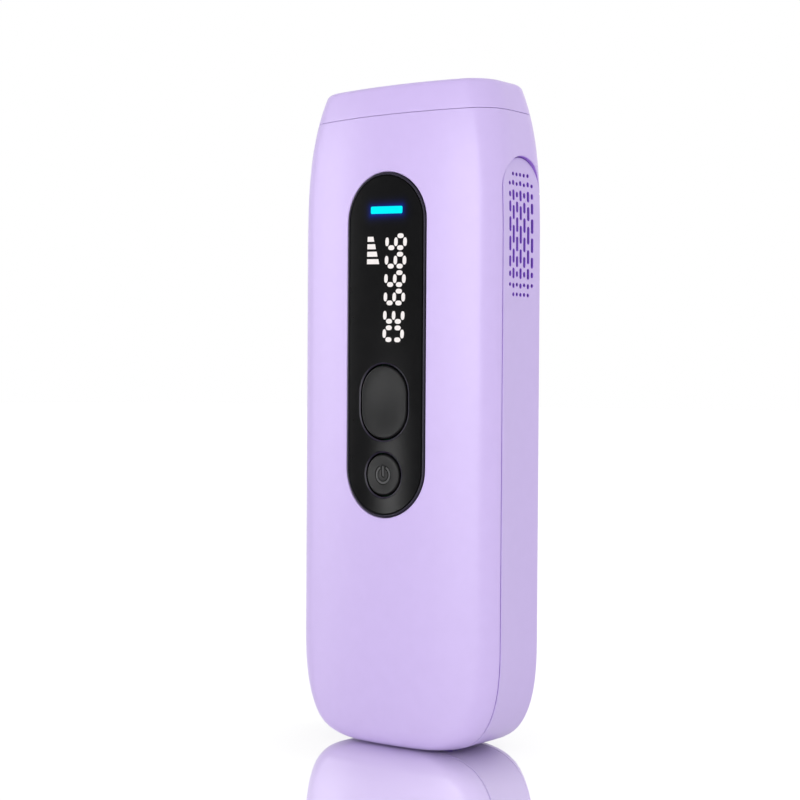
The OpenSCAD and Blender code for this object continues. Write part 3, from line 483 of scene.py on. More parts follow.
M["ribbon"] = material("polyimide_ribbon", (0.6, 0.27, 0.04, 1), (0.68, 0.33, 0.06, 1), 0.3, 0.4, 400.0, 0.02, coat=0.4)
M["screen"] = material("vent_screen_violet", srgb(120, 76, 200), srgb(128, 84, 206), 0.55, 0.65, 500.0, 0.05)


def pcb_material():
    m = material("solder_mask_green", (0.005, 0.06, 0.025, 1), (0.01, 0.1, 0.04, 1), 0.28, 0.36, 350.0, 0.03)
    nt = m.node_tree
    bs = nt.nodes["Principled BSDF"]
    tc = nt.nodes["Texture Coordinate"]
    wv = nt.nodes.new("ShaderNodeTexBrick")
    wv.inputs["Scale"].default_value = 260.0
    wv.inputs["Mortar Size"].default_value = 0.035
    wv.inputs["Color1"].default_value = (0.006, 0.075, 0.03, 1)
    wv.inputs["Color2"].default_value = (0.008, 0.09, 0.035, 1)
    wv.inputs["Mortar"].default_value = (0.02, 0.2, 0.07, 1)
    mp = nt.nodes.new("ShaderNodeMapping")
    mp.inputs["Rotation"].default_value = (math.radians(90), 0, 0)
    nt.links.new(tc.outputs["Object"], mp.inputs["Vector"])
    nt.links.new(mp.outputs["Vector"], wv.inputs["Vector"])
    nt.links.new(wv.outputs["Color"], bs.inputs["Base Color"])
    return m


def coil_material():
    m = material("enamelled_copper", (0.5, 0.17, 0.04, 1), (0.62, 0.24, 0.07, 1), 0.25, 0.35, 400.0, 0.0, metallic=0.8)
    nt = m.node_tree
    bs = nt.nodes["Principled BSDF"]
    tc = nt.nodes["Texture Coordinate"]
    wv = nt.nodes.new("ShaderNodeTexWave")
    wv.bands_direction = "Z"
    wv.inputs["Scale"].default_value = 500.0
    nt.links.new(tc.outputs["Object"], wv.inputs["Vector"])
    bp = nt.nodes.new("ShaderNodeBump")
    bp.inputs["Strength"].default_value = 0.6
    bp.inputs["Distance"].default_value = 0.0003
    nt.links.new(wv.outputs["Fac"], bp.inputs["Height"])
    nt.links.new(bp.outputs["Normal"], bs.inputs["Normal"])
    return m


def lens_glow(m, cx, cz, hw, hh, fall, color, strength):
    """painted glow: emission in the lens round a lit bar, falling off by distance from it"""
    nt = m.node_tree
    bs = nt.nodes["Principled BSDF"]
    tc = nt.nodes["Texture Coordinate"]
    sx = nt.nodes.new("ShaderNodeSeparateXYZ")
    nt.links.new(tc.outputs["Object"], sx.inputs[0])

    def mth(op, a, b=None):
        n = nt.nodes.new("ShaderNodeMath")
        n.operation = op
        for i, x in enumerate((a, b)):
            if x is None:
                continue
            if isinstance(x, (int, float)):
                n.inputs[i].default_value = x
            else:
                nt.links.new(x, n.inputs[i])
        return n.outputs[0]

    dx = mth("MAXIMUM", mth("SUBTRACT", mth("ABSOLUTE", mth("SUBTRACT", sx.outputs[0], cx)), hw), 0.0)
    dz = mth("MAXIMUM", mth("SUBTRACT", mth("ABSOLUTE", mth("SUBTRACT", sx.outputs[2], cz)), hh), 0.0)
    d = mth("SQRT", mth("ADD", mth("MULTIPLY", dx, dx), mth("MULTIPLY", dz, dz)))
    g = mth("EXPONENT", mth("MULTIPLY", d, -1.0 / fall))
    cr = nt.nodes.new("ShaderNodeValToRGB")
    cr.color_ramp.elements[0].color = (0, 0, 0, 1)
    cr.color_ramp.elements[1].color = color
    nt.links.new(g, cr.inputs["Fac"])
    nt.links.new(cr.outputs["Color"], bs.inputs["Emission Color"])
    bs.inputs["Emission Strength"].default_value = strength


# painted glow in the lens round the light bar
lens_glow(M["lens"], 0.0006, (133.53 + FOOT) * MM, 4.7 * MM, 0.8 * MM, 0.55 * MM, (0.0, 0.02, 0.3, 1), 1.0)
M["pcb"] = pcb_material()
M["coil"] = coil_material()

# ------------------------------------------------------------------ outer shells
Z_ROWS = np.unique(np.concatenate([np.linspace(0.0, 30, 46), np.linspace(30, 112, 55), np.linspace(112, COVER, 20)]))
VS_LOW = np.unique(np.concatenate([np.linspace(0.0, 4, 14), np.linspace(4, 32, 30), np.linspace(32, vmap(COVER - 8), 66)]))


def flat_end(w, back_side):
    return (half_b(0) if back_side else half_f(0)) - w


def trim_edge(t, back_side, vmax):
    """points (u, v) of the right-hand edge of the trim's channel, from the middle of the base up to vmax; t into the shell"""
    w = TW + GAP + t
    d = flat_end(w, back_side)
    pts = []
    for i in range(13):
        v = -d * math.cos(i / 13 * math.pi / 2)
        pts.append((edge_u(v, w, back_side), v))
    for v in VS_LOW:
        if v < vmax - 0.4:
            pts.append((edge_u(v, w, back_side), v))
    pts.append((edge_u(vmax, w, back_side), vmax))
    pts[0] = (0.0, -d)
    return pts


def front_loop(t):
    r = trim_edge(t, False, vmap(TOP - TW))
    w = TW + GAP + t
    zc = TOP - TW
    arch = []
    for i in range(1, 40):
        a = math.pi * i / 40
        y = -w * math.cos(a)
        z = zc + w * math.sin(a)
        v = vmap(z)
        fu, bu = full_u(v)
        arch.append((edge_u(v, -y, False) if y < 0 else 2 * 0 + fu + bu - edge_u(v, y, True), v))
    zb = COVER + t
    v = vmap(zb)
    fu, bu = full_u(v)
    down = [(fu + bu - edge_u(v, w, True), v)]
    far = []
    for i in range(1, 25):
        u0, u1 = down[0][0], fu + bu
        far.append((u0 + (u1 - u0) * i / 24, v))
    vt = vmap(SEAM + 0.08 - 0.4 * t)
    fu2, bu2 = full_u(vt)
    up = [(sum(full_u(v + (vt - v) * i / 12)), v + (vt - v) * i / 12) for i in range(1, 12)]
    top = [((fu2 + bu2) * (1 - i / 90.0), vt) for i in range(0, 90)]
    right = r[1:] + arch + down + far + up + top
    left = [(-u, v) for u, v in reversed(right)]
    return np.array([r[0]] + right + [(0.0, vt)] + left)


PW, PT, PB = 12.2, 143.0, 57.5
PILL_C, PILL_L = (PT + PB) / 2, (PT - PB) / 2


def pill_loop(t, w=PW + 0.12, c=PILL_C, l=PILL_L + 0.12, grow=1):
    """on the body's (u, v) domain"""
    p = stadium(w, l, grow * t, 28)
    out = []
    for x, z in p:
        out.append((RF * math.asin(x / RF), vmap(z + c)))
    return np.array(out)


b = Builder()
patch = Patch(body_point)
fr = 0.28
outer = front_loop(fr)
hole = pill_loop(0.32)
extra = [(u, v) for v in np.arange(0.25, 6, 0.5) for u in np.arange(-20, 20.1, 1.2)]
pts = grid_points(outer, [hole], 1.3, 0.7, 1.5, extra)
patch.fill(b, outer, [hole], pts)
# the outline fillet in body lilac, the wall below it in the darker gap lilac: painted shade in the channel and seams
patch.ring(b, front_loop, fillet(fr, 1.95, 5), True, (0, 1))
patch.ring(b, pill_loop, fillet(0.32, 1.2, 5), False)
front_shell = b.make("front_shell_skin", "housing", [M["lilac"], M["deep"]], ["front_shell"])


def rear_loop(t):
    vmax = vmap(COVER - 0.12 - t)
    w = TW + GAP + t
    r = []
    d = flat_end(w, True)
    for i in range(13):
        v = -d * math.cos(i / 13 * math.pi / 2)
        r.append((edge_u(v, w, True), v))
    r[0] = (0.0, -d)
    for v in VS_LOW:
        if v < vmax - 0.5:
            r.append((edge_u(v, w, True), v))
    e = edge_u(vmax, w, True)
    top = [(e * (1 - i / 30.0), vmax) for i in range(0, 30)]
    right = r[1:] + top
    left = [(-u, v) for u, v in reversed(right)]
    return np.array([r[0]] + right + [(0.0, vmax)] + left)


b = Builder()
patch = Patch(rear_point)
outer = rear_loop(fr)
pts = grid_points(outer, [], 1.3, 0.7, 1.6, extra)
patch.fill(b, outer, [], pts)
# the wall below the fillet in the darker gap lilac: painted shade in the channel
patch.ring(b, rear_loop, fillet(fr, 1.95, 5), True, (0, 1))
rear_shell = b.make("rear_shell_skin", "housing", [M["lilac"], M["deep"]], ["rear_shell"])

# ------------------------------------------------------------------ side trim
def edge_x(z, w):
    a, bb, c, R, p, cy, *_ = sect(z, True)
    d = min(c * 0.98, max(0.0, w + cy))
    return a - c + math.sqrt(c * c - d * d)


tz = [TOP - 0.0, TOP - 4, TOP - 8, 134, 130, 126, 121, 110, 90, 70, 50, 36, 28.1, 25, 22, 19.5, 17, 15, 13, 11.2, 9.6, 8.1, 6.8, 5.6, 4.6, 3.7, 2.9, 2.2, 1.6, 1.15, 0.8, 0.5, 0.3, 0.12, 0.03, 0.0]
side = [(edge_x(z, TW), z) for z in tz]
flat = [(side[-1][0] * (1 - 2 * i / 12.0), 0.0) for i in range(1, 12)]
path = np.array([(side[0][0] - 0.9, TOP + 3.5)] + side + flat + [(-x, z) for x, z in reversed(side)] + [(-side[0][0] + 0.9, TOP + 3.5)])
plen = np.concatenate([[0], np.cumsum(np.linalg.norm(np.diff(path, axis=0), axis=1))])
# smooth interpolation along the path
def hermite(s):
    i = int(np.clip(np.searchsorted(plen, s) - 1, 0, len(path) - 2))
    def tan(k):
        k0, k1 = max(0, k - 1), min(len(path) - 1, k + 1)
        return (path[k1] - path[k0]) / (plen[k1] - plen[k0])
    h = plen[i + 1] - plen[i]
    x = (s - plen[i]) / h
    m0, m1 = tan(i) * h, tan(i + 1) * h
    a, bq = path[i], path[i + 1]
    p = (2 * x**3 - 3 * x**2 + 1) * a + (x**3 - 2 * x**2 + x) * m0 + (-2 * x**3 + 3 * x**2) * bq + (x**3 - x**2) * m1
    g = ((6 * x * x - 6 * x) * a + (3 * x * x - 4 * x + 1) * m0 + (-6 * x * x + 6 * x) * bq + (3 * x * x - 2 * x) * m1) / h
    return p, g / (np.linalg.norm(g) + 1e-12)


S0 = plen[1]  # arch top, right side
S1 = plen[-2]


def trim_point(y, s):
    p, g = hermite(s)
    n = np.array([-g[1], g[0]])
    z = p[1]
    sc = min(s - S0, S1 - s)  # distance from the arch's top along the path
    r = abs(y) if sc > TW else math.hypot(y, TW - sc)
    k = DISH * min(1.0, max(0.0, (z - 6) / 22.0)) * (1 - min(1.0, r / TW) ** 2)
    return (p[0] - n[0] * k, y, p[1] - n[1] * k)


def trim_loop(t):
    w = TW - t
    L = S1 - S0
    pts = []
    for i in range(49):
        a = math.pi * i / 48
        pts.append((-w * math.cos(a), S0 + TW - w * math.sin(a)))
    m = 150
    ss = S0 + TW + (L - 2 * TW) * np.arange(1, m) / m
    pts += [(w, s) for s in ss]
    for i in range(49):
        a = math.pi * i / 48
        pts.append((w * math.cos(a), S1 - TW + w * math.sin(a)))
    pts += [(-w, s) for s in ss[::-1]]
    return np.array(pts)


SW, SP, VZ = 0.425, 1.6, 127.2
EVEN = [(2.15, 0), (1.68, 5.28), (1.28, 9.48), (0.58, 12.5), (SW, 14.65)]
ODD = [(1.75, 2.35), (1.3, 6.65), (0.65, 9.65), (SW, 12.25), (SW, 14.6)]
slots = []
for side_s in (1, -1):
    for c in range(-3, 4):
        for k, (hl, off) in enumerate(EVEN if c % 2 == 0 else ODD):
            if abs(c) == 3 and k == 4:
                continue
            for sg in ([1] if off == 0 else [1, -1]):
                s = S0 + (TOP - (VZ + sg * off))
                if side_s < 0:
                    s = S1 + S0 - s
                slots.append((c * SP, s, max(hl, SW)))


def slot_loop(cx, cs, hl):
    def f(t):
        p = stadium(SW, hl, t, 6)
        return p + np.array([cx, cs])
    return f


b = Builder()
patch = Patch(trim_point)
te = 0.3
outer = trim_loop(te)
sl = [slot_loop(*q) for q in slots]
holes = [f(0.1) for f in sl]
pts = grid_points(outer, holes, 0.95, 0.4, 1.5)
# the surface normal must point out of the body
P, n = patch.pn(np.array([(0.0, S0 + 40)]))
patch.flip = bool(n[0][0] < 0)
patch.fill(b, outer, holes, pts)
# the wall below the fillet in the darker gap lilac: painted shade in the channel
patch.ring(b, trim_loop, fillet(te, 1.85, 5), True, (0, 1))
for f in sl:
    # slot edges in the darker gap lilac, slot walls in the deeper slot violet: painted shade inside the vents
    patch.ring(b, f, fillet(0.1, 1.5, 2), False, (1, 2))
side_trim = b.make("side_trim_skin", "housing", [M["trim"], M["deep"], M["slot"]], ["side_trim"])

# ------------------------------------------------------------------ base plate
def trim_z_at(x):
    u = max(0.0, (x + 2.9 - (A0 - CXR)) / CXR)
    return CZR * (1 - max(0.0, 1 - min(1.0, u) ** CN) ** (1 / CN))


def plate_point(x, y):
    z = trim_z_at(abs(x))
    dz = (trim_z_at(abs(x) + 0.2) - trim_z_at(max(0.0, abs(x) - 0.2))) / 0.4
    n = np.array([math.copysign(dz, x), -1.0])
    n /= np.linalg.norm(n)
    return (x + n[0] * FOOT, y, z + n[1] * FOOT)


b = Builder()
patch = Patch(plate_point)
patch.flip = bool(patch.pn(np.array([(0.0, 0.0)]))[1][0][2] > 0)


def plate_loop(t):
    p = stadium(5.5, 22.45, -t, 20)[:, ::-1]
    return p


hl = [lambda t: circle(3.3 + t, 48)]
for s in (1, -1):
    for i in range(7):
        for j in range(-2, 3):
            if not (abs(j) == 2 and i == 6):
                hl.append(lambda t, q=(s * (7.2 + i * 1.6), j * 1.7): circle(0.42 + t, 12) + np.array(q))
outer = plate_loop(0.3)
holes = [f(0.3 if k == 0 else 0.08) for k, f in enumerate(hl)]
pts = grid_points(outer, holes, 1.0, 0.4)
patch.fill(b, outer, holes, pts)
patch.ring(b, plate_loop, fillet(0.3, 1.9, 4), True)
for k, f in enumerate(hl):
    patch.ring(b, f, fillet(0.3 if k == 0 else 0.08, 2.05, 3), False)
# the base plate in the darkened violet: painted shade on the underside
base_plate = b.make("base_plate_skin", "housing", [M["plate"]], ["base_plate"])

# ------------------------------------------------------------------ head cap
def ring_pts(z, d, n=220):
    """even points round the section at height z, set in by d"""
    f, g = sect(z, False, d), sect(z, True, d)
    lf, lb = f[7] + f[8] + f[9], g[7] + g[8] + g[9]
    out = []
    for i in range(n):
        q = 4 * i / n
        k, x = int(q), q - int(q)
        if k == 0:
            u = x * lf
        elif k == 1:
            u = lf + x * lb
        elif k == 2:
            u = -(lf + (1 - x) * lb)
        else:
            u = -(1 - x) * lf
        sgn = 1.0 if k < 2 else -1.0
        s = abs(u)
        a, bb, c, R, p, cy, y0, l1, l2, l3 = f
        if s <= l1:
            t = s / R
            pt = (sgn * R * math.sin(t), y0 - R * math.cos(t))
        elif s <= l1 + l2:
            t = p + (s - l1) / c
            pt = (sgn * (a - c + c * math.sin(t)), cy - c * math.cos(t))
        elif s <= lf:
            pt = (sgn * a, cy + s - l1 - l2)
        else:
            s -= lf
            a, bb, c, R, p, cy, y0, l1, l2, l3 = g
            if s <= l3:
                pt = (sgn * a, s)
            elif s <= l3 + l2:
                t = math.pi / 2 - (s - l3) / c
                pt = (sgn * (a - c + c * math.sin(t)), -cy + c * math.cos(t))
            else:
                t = p - (s - l3 - l2) / R
                pt = (sgn * R * math.sin(t), -y0 + R * math.cos(t))
        out.append((pt[0], pt[1], z))
    return np.array(out)


EDGE = 1.15
rows = [(SEAM + 0.14, 1.9), (SEAM + 0.14, 0.3), (SEAM + 0.14, 0.14), (SEAM + 0.16, 0.07), (SEAM + 0.2, 0.025), (SEAM + 0.27, 0.0)]
rows += [(z, 0.0) for z in np.linspace(SEAM + 0.6, H - EDGE, 14)]
rows += [(H - EDGE + EDGE * math.sin(a), EDGE * (1 - math.cos(a))) for a in [math.pi / 2 * i / 10 for i in range(1, 11)]]
R3 = [ring_pts(z, d) for z, d in rows]
nr, nc = len(R3), len(R3[0])
verts, norms = np.concatenate(R3), []
for k in range(nr):
    d1 = R3[min(nr - 1, k + 1)] - R3[max(0, k - 1)]
    d2 = np.roll(R3[k], -1, 0) - np.roll(R3[k], 1, 0)
    norms.append(unit(np.cross(d2, d1)))
norms[0][:] = (0, 0, -1)
norms[1][:] = (0, 0, -1)
norms[-1][:] = (0, 0, 1)
norms = np.concatenate(norms)
faces = [[k * nc + i, k * nc + (i + 1) % nc, (k + 1) * nc + (i + 1) % nc, (k + 1) * nc + i] for k in range(nr - 1) for i in range(nc)]
b = Builder()
Patch.orient(verts, norms, faces)
b.add(verts, norms, faces)
top_patch = Patch(lambda x, y: (x, y, H))
WIN = lambda t: rrect(38 + 2 * t, 15.8 + 2 * t, 4.6 + t)
SEN = [lambda t, s=s: stadium(1.15, 4.1, t, 12) + np.array((s * 22.4, 0.0)) for s in (1, -1)]
outer = R3[-1][:, :2]
holes = [WIN(0.35)] + [f(0.15) for f in SEN]
pts = grid_points(outer, holes, 1.4, 0.6)
top_patch.fill(b, outer, holes, pts)
top_patch.ring(b, WIN, fillet(0.35, 3.4, 4), False)
for f in SEN:
    top_patch.ring(b, f, fillet(0.15, 1.7, 3), False)
head_cap = b.make("head_cap_skin", "housing", [M["lilac"]], ["head_cap"])

# window bezel, window and sensors
b = Builder()
bz = Patch(lambda x, y: (x, y, 164.5))
BO = lambda t: rrect(37.7 - 2 * t, 15.5 - 2 * t, 4.4 - t)
BI = lambda t: rrect(33.2 + 2 * t, 12.8 + 2 * t, 3.1 + t)
bz.fill(b, BO(0.4), [BI(0.7)], np.zeros((0, 2)))
bz.ring(b, BO, fillet(0.4, 2.9, 4), True)
bz.ring(b, BI, fillet(0.7, 2.9, 6), False)
b.make("window_bezel_skin", "housing", [M["bezel"]], ["window_bezel"])
b = Builder()
sw = Patch(lambda x, y: (x, y, 164.55))
SO = lambda t: rrect(32.7 - 2 * t, 12.3 - 2 * t, 2.85 - t)
sw.fill(b, SO(0.45), [], np.zeros((0, 2)))
sw.ring(b, SO, fillet(0.45, 4.9, 5), True)
sb = Patch(lambda x, y: (x, y, 159.65), flip=True)
sb.fill(b, SO(0.0), [], np.zeros((0, 2)))
b.make("sapphire_window_skin", "housing", [M["sapphire"]], ["sapphire_window"])
b = Builder()
for s in (1, -1):
    q = Patch(lambda x, y: (x, y, 165.0))
    L = lambda t, s=s: stadium(1.05, 4.0, -t, 12) + np.array((s * 22.4, 0.0))
    q.fill(b, L(0.3), [], np.zeros((0, 2)))
    q.ring(b, L, fillet(0.3, 1.6, 4), True)
b.make("skin_sensors_skin", "housing", [M["chrome"]], ["skin_sensors"])

# ------------------------------------------------------------------ control panel
def face_point(lift):
    R = RF + lift
    return lambda x, z: (x, FCY - math.sqrt(R * R - x * x), z)


FW, FH, FZ = 7.05, 9.1, 86.1
PR, PZ = 5.1, 68.1
KG = 0.35
lens_loop = lambda t: stadium(PW, PILL_L, -t, 32) + np.array((0, PILL_C))
flash_hole = lambda t: stadium(FW + KG, FH + KG, t, 32) + np.array((0, FZ))
power_hole = lambda t: circle(PR + KG + t, 72) + np.array((0, PZ))


def lens_edge():
    """rim, fine groove, then the lens"""
    return [[(1.0, 0.0), (0.92, 0.03), (0.86, 0.16)], [(0.86, 0.16), (0.62, 0.16)], [(0.62, 0.16), (0.6, 0.05), (0.52, 0.0), (0.34, 0.0), (0.16, 0.05), (0.04, 0.18), (0.0, 0.35)], [(0.0, 0.35), (0.0, 1.1)]]


def hole_edge(bev=0.5, dep=0.16):
    return [[(bev, 0.0), (bev * 0.8, 0.012)], [(bev * 0.8, 0.012), (0.06, dep)], [(0.06, dep), (0.0, dep + 0.08), (0.0, 1.1)]]


b = Builder()
patch = Patch(face_point(0.05))
outer = lens_loop(1.0)
holes = [flash_hole(0.5), power_hole(0.5)]
pts = grid_points(outer, holes, 1.0, 0.5, 1.4)
patch.flip = bool(patch.pn(np.array([(0.0, 100.0)]))[1][0][1] > 0)
patch.fill(b, outer, holes, pts)
# the groove floor and wall round the lens in the groove black: painted shade in the gap
patch.ring(b, lens_loop, lens_edge(), True, (0, 1, 2, 1))
# key-hole bevel slopes in the lightened rim colour: painted highlight line, on top of the light the bevel's shape
# catches
patch.ring(b, flash_hole, hole_edge(), False, (0, 2, 1))
patch.ring(b, power_hole, hole_edge(), False, (0, 2, 1))
BLACKS = []
lens = b.make("control_panel_lens", "housing", [M["lens"], M["groove"], M["rim"]], ["control_panel"])


# keys: gently dished, with an eased edge
def key_point(cz, rx, rz, lift, dish):
    R = RF + lift
    def f(x, z):
        q = min(1.0, (x / rx) ** 2 + ((z - cz) / rz) ** 2)
        return (x, FCY - math.sqrt(R * R - x * x) + dish * (1 - q) ** 2, z)
    return f


b = Builder()
patch = Patch(key_point(FZ, FW, FH, 0.12, 0.25))
patch.flip = bool(patch.pn(np.array([(0.0, FZ)]))[1][0][1] > 0)
FL = lambda t: stadium(FW, FH, -t, 32) + np.array((0, FZ))
outer = FL(0.45)
patch.fill(b, outer, [], grid_points(outer, [], 0.7, 0.35))
patch.ring(b, FL, fillet(0.45, 1.6, 6), True)
BLACKS.append(lens)
flash_cap = b.make("flash_button_cap", "flash_key", [M["key"]], ["flash_button"])

b = Builder()
patch = Patch(key_point(PZ, PR, PR, 0.12, 0.2))
patch.flip = bool(patch.pn(np.array([(0.0, PZ)]))[1][0][1] > 0)
PL = lambda t: circle(PR - t, 72) + np.array((0, PZ))


def arc_icon(t, r0=1.62, r1=2.36, gap=32.0):
    """outline of an open ring stroke, grown by t"""
    rm, hw = (r0 + r1) / 2, (r1 - r0) / 2 + t
    a0, a1 = math.radians(90 + gap), math.radians(450 - gap)
    pts = []
    n = 44
    for i in range(n + 1):
        a = a0 + (a1 - a0) * i / n
        pts.append(((rm + hw) * math.cos(a), (rm + hw) * math.sin(a)))
    for i in range(1, 8):
        e = math.pi * i / 8
        cx, cy = rm * math.cos(a1), rm * math.sin(a1)
        a = a1 + e
        pts.append((cx + hw * math.cos(a), cy + hw * math.sin(a)))
    for i in range(n + 1):
        a = a1 - (a1 - a0) * i / n
        pts.append(((rm - hw) * math.cos(a), (rm - hw) * math.sin(a)))
    for i in range(1, 8):
        e = math.pi * i / 8
        cx, cy = rm * math.cos(a0), rm * math.sin(a0)
        a = a0 + math.pi + e
        pts.append((cx + hw * math.cos(a), cy + hw * math.sin(a)))
    return np.array(pts) + np.array((0, PZ))


bar_icon = lambda t: stadium(0.36, 1.45, t, 8) + np.array((0, PZ + 0.95))
g = 0.13
icons = [arc_icon, bar_icon]
outer = PL(0.45)
holes = [f(g) for f in icons]
patch.fill(b, outer, holes, grid_points(outer, holes, 0.55, 0.2))
patch.ring(b, PL, fillet(0.45, 1.6, 6), True)
for f in icons:
    # the channel round the icon strip in the groove black: painted shade; the strip itself in icon grey
    patch.ring(b, f, [[(g, 0.0), (g * 0.6, 0.16)], [(g * 0.6, 0.16), (-g * 0.6, 0.16)], [(-g * 0.6, 0.16), (-g, 0.0)]], False, (1, 1, 2))
    inner = f(-g)
    ink = Builder()
    patch.fill(ink, inner, [], np.zeros((0, 2)))
    b.add(ink.v, ink.n, ink.f, 2)
BLACKS.append(flash_cap)
power_cap = b.make("power_button_cap", "power_key", [M["key"], M["groove"], M["icon"]], ["power_button"])

BLACKS.append(power_cap)

# ------------------------------------------------------------------ read-out
def skew(p):
    a = math.radians(-1.8)
    c = np.array((3.28, 114.33))
    q = np.asarray(p, float) - c
    return np.stack([q[:, 0] * math.cos(a) - q[:, 1] * math.sin(a), q[:, 0] * math.sin(a) + q[:, 1] * math.cos(a)], -1) + c


def oval(w, h, n=28):
    out = []
    for i in range(n):
        t = 2 * math.pi * i / n
        c, s = math.cos(t), math.sin(t)
        out.append((w * math.copysign(abs(c) ** 0.85, c), h * math.copysign(abs(s) ** 0.85, s)))
    return np.array(out)


DIG = Patch(face_point(0.085))
DIG.flip = bool(DIG.pn(np.array([(0.0, 100.0)]))[1][0][1] > 0)
ON = [[1, 1, 1, 1, 0, 1, 1]] * 4 + [[1, 1, 1, 0, 0, 1, 1], [1, 0, 1, 1, 1, 1, 1]]


def chip(bd, loop, rim=0.06):
    o = loop(rim)
    DIG.fill(bd, o, [], grid_points(o, [], 0.4, 0.12))
    DIG.ring(bd, loop, [[(rim, 0.0), (0.0, 0.03)], [(0.0, 0.03), (0.0, 0.9)]], True)


b = Builder()
for i, on in enumerate(ON):
    zc = 125.65 - 4.53 * i
    for k in range(3):
        if on[k]:
            chip(b, lambda t, x=(2.7, 0, -2.7)[k], z=zc: skew(oval(0.55 - t, 1.08 - t) + np.array((3.28 + x, z))))
    for k in range(4):
        if on[3 + k]:
            chip(b, lambda t, x=(1.33, -1.36, -1.36, 1.33)[k], z=zc + (1.46, 1.46, -1.46, -1.46)[k]: skew(oval(0.93 - t, 0.6 - t) + np.array((3.28 + x, z))))
b.make("display_digits_lit", "housing", [M["digit"]], ["display_digits"])
b = Builder()
for i in range(4):
    def bar(t, i=i):
        c4 = np.array([[t, -0.62 + t], [2.17 + i * 0.6 - t, -0.62 + t], [1.88 + i * 0.59 - t, 0.62 - t], [t, 0.62 - t]])
        p = np.array([c4[k] + (c4[(k + 1) % 4] - c4[k]) * q / 8.0 for k in range(4) for q in range(8)])
        return skew(p + np.array((-5.69, 126.35 - i * 1.855)))
    chip(b, bar)
b.make("level_bars_lit", "housing", [M["digit"]], ["level_bars"])
b = Builder()
chip(b, lambda t: skew(rrect(9.8 - 2 * t, 1.8 - 2 * t, 0.35 - t * 0.8, 4, 0.5) + np.array((0, 133.53))), 0.08)
b.make("light_bar_lit", "housing", [M["cyan"]], ["light_bar"])

# ------------------------------------------------------------------ carried CAD nodes
CARRY = {
    "display_module": "black", "flash_switch": "black", "flash_switch_plunger": "cream", "power_switch": "black", "power_switch_plunger": "cream",
    "control_pcb": "pcb", "control_pcb_screws": "steel", "window_gasket": "silicone", "cold_frame": "alu", "filter_glass": "amber",
    "lamp_holder": "ceramic", "reflector": "mirror", "xenon_lamp": "quartz", "lamp_electrodes": "chrome", "lamp_leads": "red", "head_screws": "steel",
    "cooler_module": "ceramic", "heat_sink": "alu", "blower_housing": "black", "blower_cover": "black", "blower_bearing": "bronze",
    "blower_impeller": "black", "blower_screws": "steel", "main_pcb": "pcb", "main_pcb_screws": "steel", "flash_capacitor": "sleeve",
    "transformer_core": "ferrite", "transformer_coil": "coil", "trigger_coil": "coil", "power_transistor": "black", "driver_chips": "black",
    "dc_jack": "black", "dc_jack_contacts": "chrome", "dc_leads": "wire", "ribbon_cable": "ribbon", "case_screws": "steel", "vent_screens": "screen",
}
for name, mat in CARRY.items():
    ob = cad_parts[name]
    ob.data.materials.clear()
    ob.data.materials.append(M[mat])

# ------------------------------------------------------------------ stage
def stage_material():
    m = bpy.data.materials.new("studio_floor_painted_contact_shade")
    m.use_nodes = True
    nt = m.node_tree
    nt.nodes.clear()
    out = nt.nodes.new("ShaderNodeOutputMaterial")
    mix = nt.nodes.new("ShaderNodeMixShader")
    df = nt.nodes.new("ShaderNodeBsdfDiffuse")
    df.inputs["Color"].default_value = (1, 1, 1, 1)
    gl = nt.nodes.new("ShaderNodeBsdfGlossy")
    gl.inputs["Roughness"].default_value = 0.03
    gl.inputs["Color"].default_value = (1, 1, 1, 1)
    mix.inputs[0].default_value = 0.88
    # painted shade round the base: the floor's added white glow is 0 within 2 cm of the object's axis and rises to full
    # by 6 cm
    em = nt.nodes.new("ShaderNodeEmission")
    em.inputs["Color"].default_value = (1, 1, 1, 1)
    geo = nt.nodes.new("ShaderNodeNewGeometry")
    ln = nt.nodes.new("ShaderNodeVectorMath")
    ln.operation = "LENGTH"
    nt.links.new(geo.outputs["Position"], ln.inputs[0])
    mr = nt.nodes.new("ShaderNodeMapRange")
    mr.interpolation_type = "SMOOTHSTEP"
    nt.links.new(ln.outputs["Value"], mr.inputs["Value"])
    mr.inputs["From Min"].default_value = 0.02
    mr.inputs["From Max"].default_value = 0.06
    mr.inputs["To Min"].default_value = 0.0
    mr.inputs["To Max"].default_value = 0.08
    nt.links.new(mr.outputs["Result"], em.inputs["Strength"])
    ad = nt.nodes.new("ShaderNodeAddShader")
    nt.links.new(df.outputs[0], mix.inputs[1])
    nt.links.new(gl.outputs[0], mix.inputs[2])
    nt.links.new(mix.outputs[0], ad.inputs[0])
    nt.links.new(em.outputs[0], ad.inputs[1])
    nt.links.new(ad.outputs[0], out.inputs[0])
    return m


fm = bpy.data.meshes.new("floor")
fm.from_pydata([(-6, -6, 0), (6, -6, 0), (6, 6, 0), (-6, 6, 0)], [], [(0, 1, 2, 3)])
floor = bpy.data.objects.new("floor", fm)
bpy.context.scene.collection.objects.link(floor)
fm.materials.append(stage_material())

world = bpy.data.worlds.new("studio")
bpy.context.scene.world = world
world.use_nodes = True
wn = world.node_tree
bg = wn.nodes["Background"]
wout = wn.nodes["World Output"]
tc = wn.nodes.new("ShaderNodeTexCoord")
sep = wn.nodes.new("ShaderNodeSeparateXYZ")
wn.links.new(tc.outputs["Generated"], sep.inputs[0])


def wm(op, *args):
    n = wn.nodes.new("ShaderNodeMath")
    n.operation = op
    for i, x in enumerate(args):
        if isinstance(x, (int, float)):
            n.inputs[i].default_value = x
        else:
            wn.links.new(x, n.inputs[i])
    return n.outputs[0]


AZ = wm("MULTIPLY", wm("ARCTAN2", sep.outputs[0], wm("MULTIPLY", sep.outputs[1], -1.0)), 180 / math.pi)
ELV = wm("MULTIPLY", wm("ABSOLUTE", wm("ARCSINE", sep.outputs[2])), 180 / math.pi)


